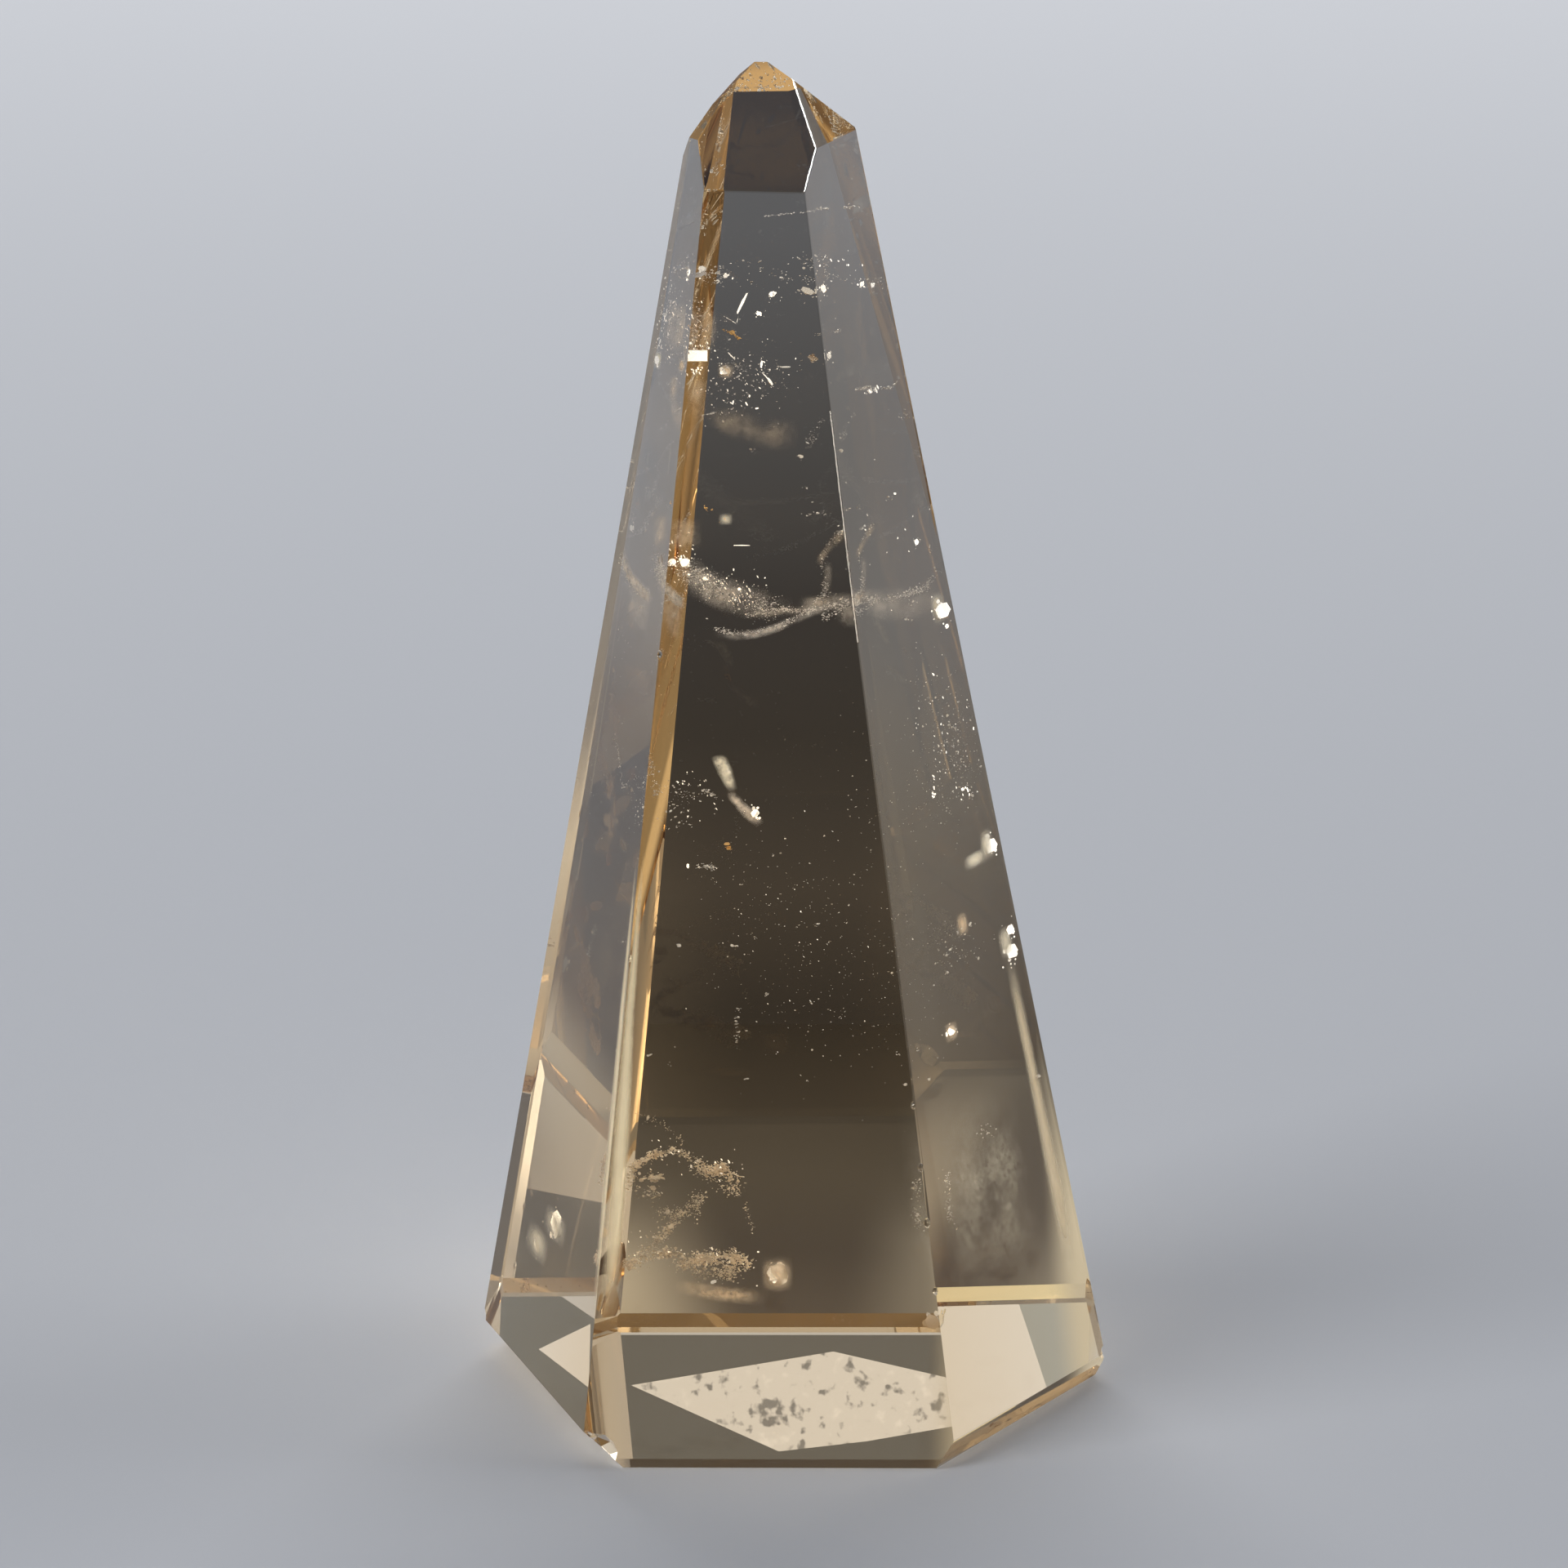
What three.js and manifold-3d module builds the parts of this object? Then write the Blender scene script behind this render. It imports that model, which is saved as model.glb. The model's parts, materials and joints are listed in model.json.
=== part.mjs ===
// Citrine crystal point: a six-sided polished tower that tapers to a six-faced point.
// Millimetres, +Z up. The origin is the middle of the base, and the base rests on z = 0.
// The stone is ground the way a lapidary does it: a rough block loses everything beyond each face,
// one face after another, then the rim of the base is bevelled and the worn spots are chipped away.
import * as THREE from "three";
import { mergeVertices } from "three/addons/utils/BufferGeometryUtils.js";
import Module from "manifold-3d";

// Driving dimensions

const HEIGHT = 64;
const APEX = new THREE.Vector3(-1.2, 4, HEIGHT);

// Prism faces, seen from above and listed from the front one round to the right. azimuth is the way
// the face looks, in degrees from +X; lean is how far it falls back from upright; reach is how far
// it stands from the origin at table level. The rim's bevel starts bevelRise up the face and takes
// bevelInset off its foot.
const PRISM = {
  front: { azimuth: -90.4, lean: 10.4, reach: 10.8, bevelRise: 0.45, bevelInset: 0.1 },
  rightFront: { azimuth: -36.1, lean: 11.7, reach: 12.6, bevelRise: 1.3, bevelInset: 0.85 },
  rightBack: { azimuth: 26, lean: 8.65, reach: 13.55, bevelRise: 0.8, bevelInset: 0.4 },
  back: { azimuth: 90.1, lean: 5.2, reach: 10.7, bevelRise: 0.5, bevelInset: 0.7 },
  leftBack: { azimuth: 137.5, lean: 7.3, reach: 13.4, bevelRise: 0.4, bevelInset: 0.4 },
  leftFront: { azimuth: 201.2, lean: 9.05, reach: 13.2, bevelRise: 1.7, bevelInset: 1.9 },
};

// Faces of the point. The polishing took down a ridge on each side of the apex and left a long
// steep facet behind it. rise is how far the face looks upwards; standOff is how far its plane
// passes outside the apex, so the faces with none meet in the apex and the others stop short of it.
const POINT = {
  broadFront: { azimuth: -89.7, rise: 38, standOff: 0 },
  smallRight: { azimuth: -38.6, rise: 38.3, standOff: 0.56 },
  ridgeRight: { azimuth: 24, rise: 50, standOff: 0 },
  steepBack: { azimuth: 82, rise: 7, standOff: 0.93 },
  smallBack: { azimuth: 90.5, rise: 28, standOff: 0 },
  broadLeft: { azimuth: 150, rise: 24, standOff: 0.9 },
  ridgeLeft: { azimuth: 178, rise: 46.5, standOff: 0.41 },
  smallLeft: { azimuth: 196.7, rise: 40.1, standOff: 0.86 },
};

// Chips and worn spots: each sits on the edge between two faces at a height, and depth is how far
// the flake that broke out reached into the stone.
const CHIP_RADIUS_PER_DEPTH = 1.9;
const CHIPS = [
  { edge: [prismPlane(PRISM.front), bevelPlane(PRISM.leftFront)], height: 0.95, depth: 0.55, turn: 20 },
  { edge: [prismPlane(PRISM.front), bevelPlane(PRISM.leftFront)], height: 1.5, depth: 0.2, turn: 50 },
  { edge: [prismPlane(PRISM.leftFront), prismPlane(PRISM.leftBack)], height: 1.7, depth: 0.3, turn: 70 },
  { edge: [prismPlane(PRISM.rightFront), prismPlane(PRISM.rightBack)], height: 1.3, depth: 0.25, turn: 10 },
  { edge: [prismPlane(PRISM.front), prismPlane(PRISM.rightFront)], height: 8.4, depth: 0.13, turn: 35 },
  { edge: [prismPlane(PRISM.front), prismPlane(PRISM.rightFront)], height: 11.6, depth: 0.16, turn: 80 },
  { edge: [prismPlane(PRISM.front), prismPlane(PRISM.rightFront)], height: 14.2, depth: 0.14, turn: 50 },
  { edge: [prismPlane(PRISM.front), prismPlane(PRISM.rightFront)], height: 17.1, depth: 0.12, turn: 5 },
  { edge: [prismPlane(PRISM.front), prismPlane(PRISM.leftFront)], height: 23.9, depth: 0.12, turn: 60 },
  { edge: [prismPlane(PRISM.front), prismPlane(PRISM.leftFront)], height: 37.9, depth: 0.14, turn: 15 },
];

const BLOCK_WIDTH = 60;
const BLOCK_HEIGHT = 70;
const GRINDER = 200;
const MERGE_DISTANCE = 1e-5;

const STONE = { color: 0xb08a4e, roughness: 0.05, metalness: 0, transparent: true, opacity: 0.55 };

const UP = new THREE.Vector3(0, 0, 1);
const wasm = await Module();
wasm.setup();

// Solids

function toSolid(geometry) {
  const bare = geometry.clone();
  bare.deleteAttribute("normal");
  bare.deleteAttribute("uv");
  const merged = mergeVertices(bare, MERGE_DISTANCE);
  return new wasm.Manifold(
    new wasm.Mesh({
      numProp: 3,
      vertProperties: new Float32Array(merged.attributes.position.array),
      triVerts: new Uint32Array(merged.index.array),
    }),
  );
}

function toGeometry(solid) {
  const { vertProperties, triVerts } = solid.getMesh();
  const geometry = new THREE.BufferGeometry();
  geometry.setAttribute("position", new THREE.BufferAttribute(vertProperties, 3));
  geometry.setIndex(new THREE.BufferAttribute(triVerts, 1));
  const faceted = geometry.toNonIndexed();
  faceted.computeVertexNormals();
  return faceted;
}

// Planes

function direction(azimuth, elevation) {
  const around = THREE.MathUtils.degToRad(azimuth);
  const above = THREE.MathUtils.degToRad(elevation);
  return new THREE.Vector3(
    Math.cos(around) * Math.cos(above),
    Math.sin(around) * Math.cos(above),
    Math.sin(above),
  );
}

function planeThrough(point, normal) {
  return new THREE.Plane().setFromNormalAndCoplanarPoint(normal, point);
}

function prismPlane({ azimuth, lean, reach }) {
  return planeThrough(direction(azimuth, 0).multiplyScalar(reach), direction(azimuth, lean));
}

function pointPlane({ azimuth, rise, standOff }) {
  const normal = direction(azimuth, rise);
  return planeThrough(APEX.clone().addScaledVector(normal, standOff), normal);
}

// The bevel runs from bevelRise up the prism face down to bevelInset inside the face's foot.
function bevelPlane({ azimuth, lean, reach, bevelRise, bevelInset }) {
  const foot = direction(azimuth, 0).multiplyScalar(reach - bevelInset);
  const across = bevelInset - bevelRise * Math.tan(THREE.MathUtils.degToRad(lean));
  const undercut = THREE.MathUtils.radToDeg(Math.atan2(across, bevelRise));
  return planeThrough(foot, direction(azimuth, -undercut));
}

// Where the edge between two planes passes a height.
function pointOnEdge([a, b], height) {
  const known = new THREE.Vector3(-a.constant, -b.constant, height);
  const planes = new THREE.Matrix3().set(
    a.normal.x, a.normal.y, a.normal.z,
    b.normal.x, b.normal.y, b.normal.z,
    0, 0, 1,
  );
  return known.applyMatrix3(planes.invert());
}

// Grinding

function grinder(plane) {
  const block = new THREE.BoxGeometry(GRINDER, GRINDER, GRINDER);
  block.translate(0, 0, GRINDER / 2);
  block.applyQuaternion(new THREE.Quaternion().setFromUnitVectors(UP, plane.normal));
  const start = plane.normal.clone().multiplyScalar(-plane.constant);
  block.translate(start.x, start.y, start.z);
  return toSolid(block);
}

function roughBlock() {
  const block = new THREE.BoxGeometry(BLOCK_WIDTH, BLOCK_WIDTH, BLOCK_HEIGHT);
  block.translate(0, 0, BLOCK_HEIGHT / 2);
  return toSolid(block);
}

// A chip is a shell-shaped hollow with a few facets, centred outside the edge it broke from.
function chip({ edge, height, depth, turn }) {
  const outwards = edge[0].normal.clone().add(edge[1].normal).normalize();
  const radius = depth * CHIP_RADIUS_PER_DEPTH;
  const flake = new THREE.IcosahedronGeometry(radius, 1);
  flake.rotateZ(THREE.MathUtils.degToRad(turn));
  const centre = pointOnEdge(edge, height).addScaledVector(outwards, radius - depth);
  flake.translate(centre.x, centre.y, centre.z);
  return toSolid(flake);
}

function crystal() {
  const planes = [
    ...Object.values(PRISM).map(prismPlane),
    ...Object.values(POINT).map(pointPlane),
    ...Object.values(PRISM).map(bevelPlane),
  ];
  const ground = planes.reduce((stone, plane) => stone.subtract(grinder(plane)), roughBlock());
  const worn = CHIPS.reduce((stone, spot) => stone.subtract(chip(spot)), ground);
  const mesh = new THREE.Mesh(toGeometry(worn), new THREE.MeshStandardMaterial(STONE));
  mesh.name = "crystal";
  return mesh;
}

const group = new THREE.Group();
group.add(crystal());

export default group;
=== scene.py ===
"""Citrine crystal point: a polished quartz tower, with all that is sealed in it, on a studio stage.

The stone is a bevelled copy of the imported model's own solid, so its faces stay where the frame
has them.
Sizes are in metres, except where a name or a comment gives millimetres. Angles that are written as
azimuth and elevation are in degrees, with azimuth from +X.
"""

import json
import math
import random

import bpy
from bpy.props import FloatProperty, FloatVectorProperty, IntProperty, PointerProperty
from mathutils import Matrix, Vector

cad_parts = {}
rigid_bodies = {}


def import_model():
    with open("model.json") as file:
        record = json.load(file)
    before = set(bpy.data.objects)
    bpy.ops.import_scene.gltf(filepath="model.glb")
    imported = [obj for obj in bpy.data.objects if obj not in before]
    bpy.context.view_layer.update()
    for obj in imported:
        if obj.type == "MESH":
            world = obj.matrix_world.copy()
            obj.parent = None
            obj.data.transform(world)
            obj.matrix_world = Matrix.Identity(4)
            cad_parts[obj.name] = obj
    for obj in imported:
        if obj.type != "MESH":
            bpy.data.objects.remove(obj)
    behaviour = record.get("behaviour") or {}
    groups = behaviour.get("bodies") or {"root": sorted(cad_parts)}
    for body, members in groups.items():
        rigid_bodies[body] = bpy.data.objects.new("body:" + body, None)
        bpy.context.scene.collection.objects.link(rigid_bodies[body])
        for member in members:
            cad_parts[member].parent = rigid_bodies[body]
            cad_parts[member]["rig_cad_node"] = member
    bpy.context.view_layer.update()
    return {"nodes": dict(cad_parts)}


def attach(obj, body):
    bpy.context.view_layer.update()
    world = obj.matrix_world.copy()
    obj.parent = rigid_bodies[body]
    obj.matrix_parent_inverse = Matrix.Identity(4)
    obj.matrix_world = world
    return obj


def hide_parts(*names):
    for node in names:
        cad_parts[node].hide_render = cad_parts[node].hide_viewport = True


bl_info = {
    "name": "Citrine Crystal Point",
    "version": (1, 0, 0),
    "blender": (4, 5, 0),
    "location": "3D View > Sidebar > Citrine",
    "description": "Polished citrine tower with veils, glints and dust sealed in it",
    "category": "Add Mesh",
}

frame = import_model()
MM = 0.001

# Elevation of the bright ring of lamps in the room
RING_ELEVATION = 34

# How far the side faces look upwards on average
MEAN_LEAN = 10.2

# Faces smaller than this, in square metres, belong to chips
LEAST_GROUND_FACE = 3 * MM**2

WHITE = (1, 1, 1)
MILKY = (0.92, 0.82, 0.7)
WARM = (0.9, 0.72, 0.5)
CREAM = (1.0, 0.93, 0.75)
# Painted highlights: colours of the bright bands of light along the front-left and right edges
PAINTED_EDGE_GLOW_GOLD = (1.0, 0.87, 0.6)
PAINTED_EDGE_GLOW_CREAM = (1.0, 0.88, 0.64)
COPPER = (1.0, 0.88, 0.7)


def stone_planes():
    """The stone's ground faces, each as its outward normal and its distance from the origin."""
    planes = []
    for polygon in frame["nodes"]["crystal"].data.polygons:
        is_new = all(polygon.normal.dot(normal) < 0.9999 for normal, _ in planes)
        if polygon.area > LEAST_GROUND_FACE and is_new:
            planes.append((polygon.normal.copy(), polygon.normal.dot(polygon.center)))
    return planes


PLANES = stone_planes()


# Settings


class CitrineStoneSettings(bpy.types.PropertyGroup):
    edge_bevel: FloatProperty(
        name="Edge polish",
        description="Width of the fine worn bevel along the edges of the front",
        default=0.00006,
        unit="LENGTH",
    )
    least_chip_edge: FloatProperty(
        name="Chip edge",
        description="Edges shorter than this belong to chips, where the edge polish stops",
        default=0.0003,
        unit="LENGTH",
    )
    ior: FloatProperty(name="IOR", description="Index of refraction of quartz", default=1.544)
    absorption_density: FloatProperty(
        name="Absorption density",
        description="How fast light is lost inside the stone, per metre",
        default=28.0,
    )
    absorption_color: FloatVectorProperty(
        name="Absorption colour",
        description="Colour that the stone lets through",
        subtype="COLOR",
        default=(0.72, 0.5, 0.11),
    )


class CitrineInclusionSettings(bpy.types.PropertyGroup):
    fleck_size: FloatProperty(
        name="Fleck size",
        description="Mean width of one fleck of a veil",
        default=0.00008,
        unit="LENGTH",
    )
    fleck_density: FloatProperty(
        name="Fleck density",
        description="Scales how many flecks each veil and cloud holds",
        default=1.0,
        min=0.1,
        max=4.0,
    )
    veil_color: FloatVectorProperty(
        name="Veil colour",
        description="Milky white of the healed fractures",
        subtype="COLOR",
        default=(0.92, 0.88, 0.82),
    )
    stain_color: FloatVectorProperty(
        name="Iron stain colour",
        description="Rusty orange of the iron flecks",
        subtype="COLOR",
        default=(0.95, 0.55, 0.16),
    )
    clearance: FloatProperty(
        name="Clearance",
        description="Least distance from anything sealed in to the stone's surface",
        default=0.00012,
        unit="LENGTH",
    )
    seed: IntProperty(name="Seed", description="Start of the random draws", default=7)


class CitrineStageSettings(bpy.types.PropertyGroup):
    floor_color: FloatVectorProperty(
        name="Floor colour",
        description="Pale grey of the studio floor",
        subtype="COLOR",
        default=(0.62, 0.64, 0.68),
    )
    camera_distance: FloatProperty(
        name="Camera distance",
        description="From the camera to the middle of the stone",
        default=0.3475,
        unit="LENGTH",
    )
    camera_elevation: FloatProperty(
        name="Camera elevation",
        description="How far the camera stands above the stone's middle",
        default=math.radians(19.33),
        subtype="ANGLE",
        unit="ROTATION",
    )
    camera_lens: FloatProperty(
        name="Lens", description="Focal length in millimetres", default=168.75
    )
    camera_target: FloatVectorProperty(
        name="Camera target",
        description="Point in the stone that the camera looks at",
        subtype="TRANSLATION",
        default=(-0.44 * MM, 2.4 * MM, 29.41 * MM),
    )


# Modelling helpers


def deselect_all():
    if bpy.context.mode != "OBJECT":
        bpy.ops.object.mode_set(mode="OBJECT")
    bpy.ops.object.select_all(action="DESELECT")


def select_only(obj):
    deselect_all()
    obj.select_set(True)
    bpy.context.view_layer.objects.active = obj


def set_only_material(obj, material):
    obj.data.materials.clear()
    obj.data.materials.append(material)


def finish_piece(piece, material):
    """Give a piece its material and its place in the frame."""
    set_only_material(piece, material)
    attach(piece, "root")


# Shader nodes


def new_material(name):
    material = bpy.data.materials.new(name)
    material.use_nodes = True
    nodes = material.node_tree.nodes
    return material, nodes, material.node_tree.links, nodes["Principled BSDF"]


def glow_material(name):
    """An emission with its Color socket free for a pattern."""
    material = bpy.data.materials.new(name)
    material.use_nodes = True
    nodes, links = material.node_tree.nodes, material.node_tree.links
    nodes.clear()
    output = nodes.new("ShaderNodeOutputMaterial")
    light = nodes.new("ShaderNodeEmission")
    links.new(light.outputs["Emission"], output.inputs["Surface"])
    return material, nodes, links, light


def math_node(nodes, links, operation, *values):
    node = nodes.new("ShaderNodeMath")
    node.operation = operation
    for socket, value in zip(node.inputs, values):
        if isinstance(value, (int, float)):
            socket.default_value = value
        else:
            links.new(value, socket)
    return node.outputs["Value"]


def eased(nodes, links, value, start, end):
    """0 at the start and 1 at the end, with soft ends."""
    ease = nodes.new("ShaderNodeMapRange")
    ease.interpolation_type = "SMOOTHSTEP"
    ease.inputs["From Min"].default_value = start
    ease.inputs["From Max"].default_value = end
    links.new(value, ease.inputs["Value"])
    return ease.outputs["Result"]


def object_axes(nodes, links):
    """Object coordinates as their three outputs X, Y and Z."""
    where = nodes.new("ShaderNodeTexCoord")
    split = nodes.new("ShaderNodeSeparateXYZ")
    links.new(where.outputs["Object"], split.inputs[0])
    return split.outputs


def object_noise(nodes, links, scale, detail):
    where = nodes.new("ShaderNodeTexCoord")
    noise = nodes.new("ShaderNodeTexNoise")
    noise.inputs["Scale"].default_value = scale
    noise.inputs["Detail"].default_value = detail
    links.new(where.outputs["Object"], noise.inputs["Vector"])
    return noise.outputs["Fac"]


def ramp_node(nodes, links, value, stops):
    """A colour that follows a value through stops, each a position and a colour."""
    ramp = nodes.new("ShaderNodeValToRGB")
    elements = ramp.color_ramp.elements
    while len(elements) > 1:
        elements.remove(elements[-1])
    elements[0].position, elements[0].color = stops[0][0], (*stops[0][1], 1)
    for position, color in stops[1:]:
        elements.new(position).color = (*color, 1)
    links.new(value, ramp.inputs["Fac"])
    return ramp.outputs["Color"]


def mix_colors(nodes, links, share, first, second):
    mix = nodes.new("ShaderNodeMix")
    mix.data_type = "RGBA"
    first_color, second_color, mixed_color = mix.inputs[6], mix.inputs[7], mix.outputs[2]
    links.new(share, mix.inputs["Factor"])
    links.new(first, first_color)
    links.new(second, second_color)
    return mixed_color


def shade(color, strength):
    return tuple(channel * strength for channel in color)


# Materials


def citrine_material(settings):
    material, nodes, links, shader = new_material("citrine")
    output = nodes["Material Output"]
    shader.inputs["Base Color"].default_value = (1, 1, 1, 1)
    shader.inputs["Transmission Weight"].default_value = 1.0
    shader.inputs["IOR"].default_value = settings.ior
    shader.inputs["Roughness"].default_value = 0.0
    depth = nodes.new("ShaderNodeVolumeAbsorption")
    depth.inputs["Color"].default_value = (*settings.absorption_color, 1)
    depth.inputs["Density"].default_value = settings.absorption_density
    links.new(depth.outputs["Volume"], output.inputs["Volume"])
    return material


def fleck_material(name, color, metallic, roughness):
    """Opaque fleck whose colour drifts a little from place to place."""
    material, nodes, links, shader = new_material(name)
    shader.inputs["Metallic"].default_value = metallic
    shader.inputs["Roughness"].default_value = roughness
    drift = object_noise(nodes, links, 900, 2)
    tint = ramp_node(nodes, links, drift, [(0.3, shade(color, 0.6)), (0.65, color)])
    links.new(tint, shader.inputs["Base Color"])
    return material


def film_material(name, color, strength, softness, blotches):
    """Milky film that thins out towards its edges and in blotches; in cream and gold it also paints
    highlights, the edge glows and the glint halos.

    A blotch pattern is its noise's scale, and the values where the film begins and is whole.
    """
    material, nodes, links, shader = new_material(name)
    shader.inputs["Base Color"].default_value = (*color, 1)
    shader.inputs["Roughness"].default_value = 0.6
    where = nodes.new("ShaderNodeTexCoord")
    split = nodes.new("ShaderNodeSeparateXYZ")
    links.new(where.outputs["UV"], split.inputs[0])
    cover = strength
    for share, fade in ((split.outputs["X"], softness), (split.outputs["Y"], 0.5)):
        from_far_end = math_node(nodes, links, "SUBTRACT", 1.0, share)
        from_end = math_node(nodes, links, "MINIMUM", share, from_far_end)
        cover = math_node(nodes, links, "MULTIPLY", cover, eased(nodes, links, from_end, 0.0, fade))
    for scale, begins, whole in blotches:
        patchy = eased(nodes, links, object_noise(nodes, links, scale, 4), begins, whole)
        cover = math_node(nodes, links, "MULTIPLY", cover, patchy)
    links.new(cover, shader.inputs["Alpha"])
    return material


def mirror_material(name):
    """Bright inner face of a crack."""
    material, _, _, shader = new_material(name)
    shader.inputs["Base Color"].default_value = (1, 0.97, 0.92, 1)
    shader.inputs["Metallic"].default_value = 1.0
    shader.inputs["Roughness"].default_value = 0.12
    return material


# Places and directions in the stone


def toward(azimuth, elevation):
    """Unit direction from two angles in degrees."""
    turn, rise = math.radians(azimuth), math.radians(elevation)
    level = math.cos(rise)
    return Vector((math.cos(turn) * level, math.sin(turn) * level, math.sin(rise)))


def camera_place():
    settings = bpy.context.scene.citrine_stage
    return Vector(settings.camera_target) + camera_back() * settings.camera_distance


def camera_back():
    elevation = bpy.context.scene.citrine_stage.camera_elevation
    return Vector((0, -math.cos(elevation), math.sin(elevation)))


class Window:
    """One broad side face that the inside is seen through.

    Places under it are given in millimetres: across from its middle line, height above the base,
    and how deep the view passes into the stone from there.
    """

    def __init__(self, azimuth):
        polygons = frame["nodes"]["crystal"].data.polygons
        looking = toward(azimuth, MEAN_LEAN)
        sides = [polygon for polygon in polygons if polygon.normal.dot(looking) > 0.985]
        side = max(sides, key=lambda polygon: polygon.area)
        self.normal = side.normal.copy()
        level = Vector((self.normal.x, self.normal.y, 0)).normalized()
        self.middle = level * (self.normal.dot(side.center) / self.normal.dot(level))
        self.across = Vector((-level.y, level.x, 0))
        self.up = self.normal.cross(self.across)

    def surface(self, across, height):
        return self.middle + self.across * across * MM + self.up * (height * MM / self.up.z)

    def inward(self, place):
        """The way the camera's view goes on inside, bent by the stone."""
        view = (place - camera_place()).normalized()
        ior = bpy.context.scene.citrine_stone.ior
        facing = -view.dot(self.normal)
        straightened = math.sqrt(1 - (1 - facing**2) / ior**2)
        return view / ior + self.normal * (facing / ior - straightened)

    def under(self, across, height, depth):
        place = self.surface(across, height)
        return place + self.inward(place) * depth * MM

    def places(self, rows):
        """Places under the window, each from a row of across, height and depth."""
        return [self.under(*row) for row in rows]


def is_sealed_in(place, clearance):
    """True where a place is inside the stone with some room to its surface."""
    return all(normal.dot(place) < away - clearance for normal, away in PLANES)


def sealed(place, clearance):
    """The place itself, or moved level towards the stone's axis until it is sealed in."""
    while not is_sealed_in(place, clearance):
        place = place.lerp(Vector((0, 0, place.z)), 0.03)
    return place


def along(points, share):
    """A point on a path of straight runs, by its share of the path's length."""
    lengths = [(b - a).length for a, b in zip(points, points[1:])]
    left = share * sum(lengths)
    for a, b, length in zip(points, points[1:], lengths):
        if left <= length:
            return a.lerp(b, left / length)
        left -= length
    return points[-1]


def onto_plane(way, view, normal):
    """The way within a plane that looks like the given way along a line of sight."""
    return way - view * (way.dot(normal) / view.dot(normal))


def turn_along(normal, direction):
    """How far a fleck with a normal is turned to lie lengthwise in a direction."""
    pose = normal.to_track_quat("Z", "Y").to_matrix()
    return math.atan2(direction.dot(pose.col[1]), direction.dot(pose.col[0]))


def random_tilt(draw, spread):
    """A direction near straight up."""
    return Vector((draw.gauss(0, spread), draw.gauss(0, spread), 1)).normalized()


def mirror_normal(window, place):
    """Tilt that sends the view out through the back, to the brightest part of the room."""
    view = window.inward(place)
    return (bright_way_out(place) - view).normalized()


def bright_way_out(place):
    """The way inside the stone that leaves it towards the bright ring of the room."""
    ior = bpy.context.scene.citrine_stone.ior
    best, way_out = 0, Vector((0, 0.92, 0.4))
    for azimuth in range(0, 181, 10):
        outside = toward(azimuth, RING_ELEVATION)
        for normal, _ in PLANES:
            facing = outside.dot(normal)
            if facing <= best:
                continue
            straightened = math.sqrt(1 - (1 - facing**2) / ior**2)
            inside = outside / ior + normal * (straightened - facing / ior)
            if first_face_ahead(place, inside) == normal:
                best, way_out = facing, inside
    return way_out


def first_face_ahead(place, way):
    """Normal of the ground face that a straight way from inside meets first."""
    ahead = [(normal, away) for normal, away in PLANES if normal.dot(way) > 0.01]
    return min(ahead, key=lambda face: (face[1] - face[0].dot(place)) / face[0].dot(way))[0]


# Flecks and films


def one_fleck():
    """A thin jagged chip about one metre wide, to be scaled down."""
    deselect_all()
    bpy.ops.mesh.primitive_circle_add(vertices=6, radius=0.5, fill_type="TRIFAN")
    chip = bpy.context.active_object
    bpy.ops.object.mode_set(mode="EDIT")
    bpy.ops.mesh.extrude_region_move(TRANSFORM_OT_translate={"value": (0, 0, 0.12)})
    bpy.ops.mesh.select_all(action="SELECT")
    bpy.ops.mesh.normals_make_consistent(inside=False)
    bpy.ops.object.mode_set(mode="OBJECT")
    draw = random.Random(3)
    for vertex in chip.data.vertices:
        vertex.co.xy *= draw.uniform(0.7, 1.15)
    return chip


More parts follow.
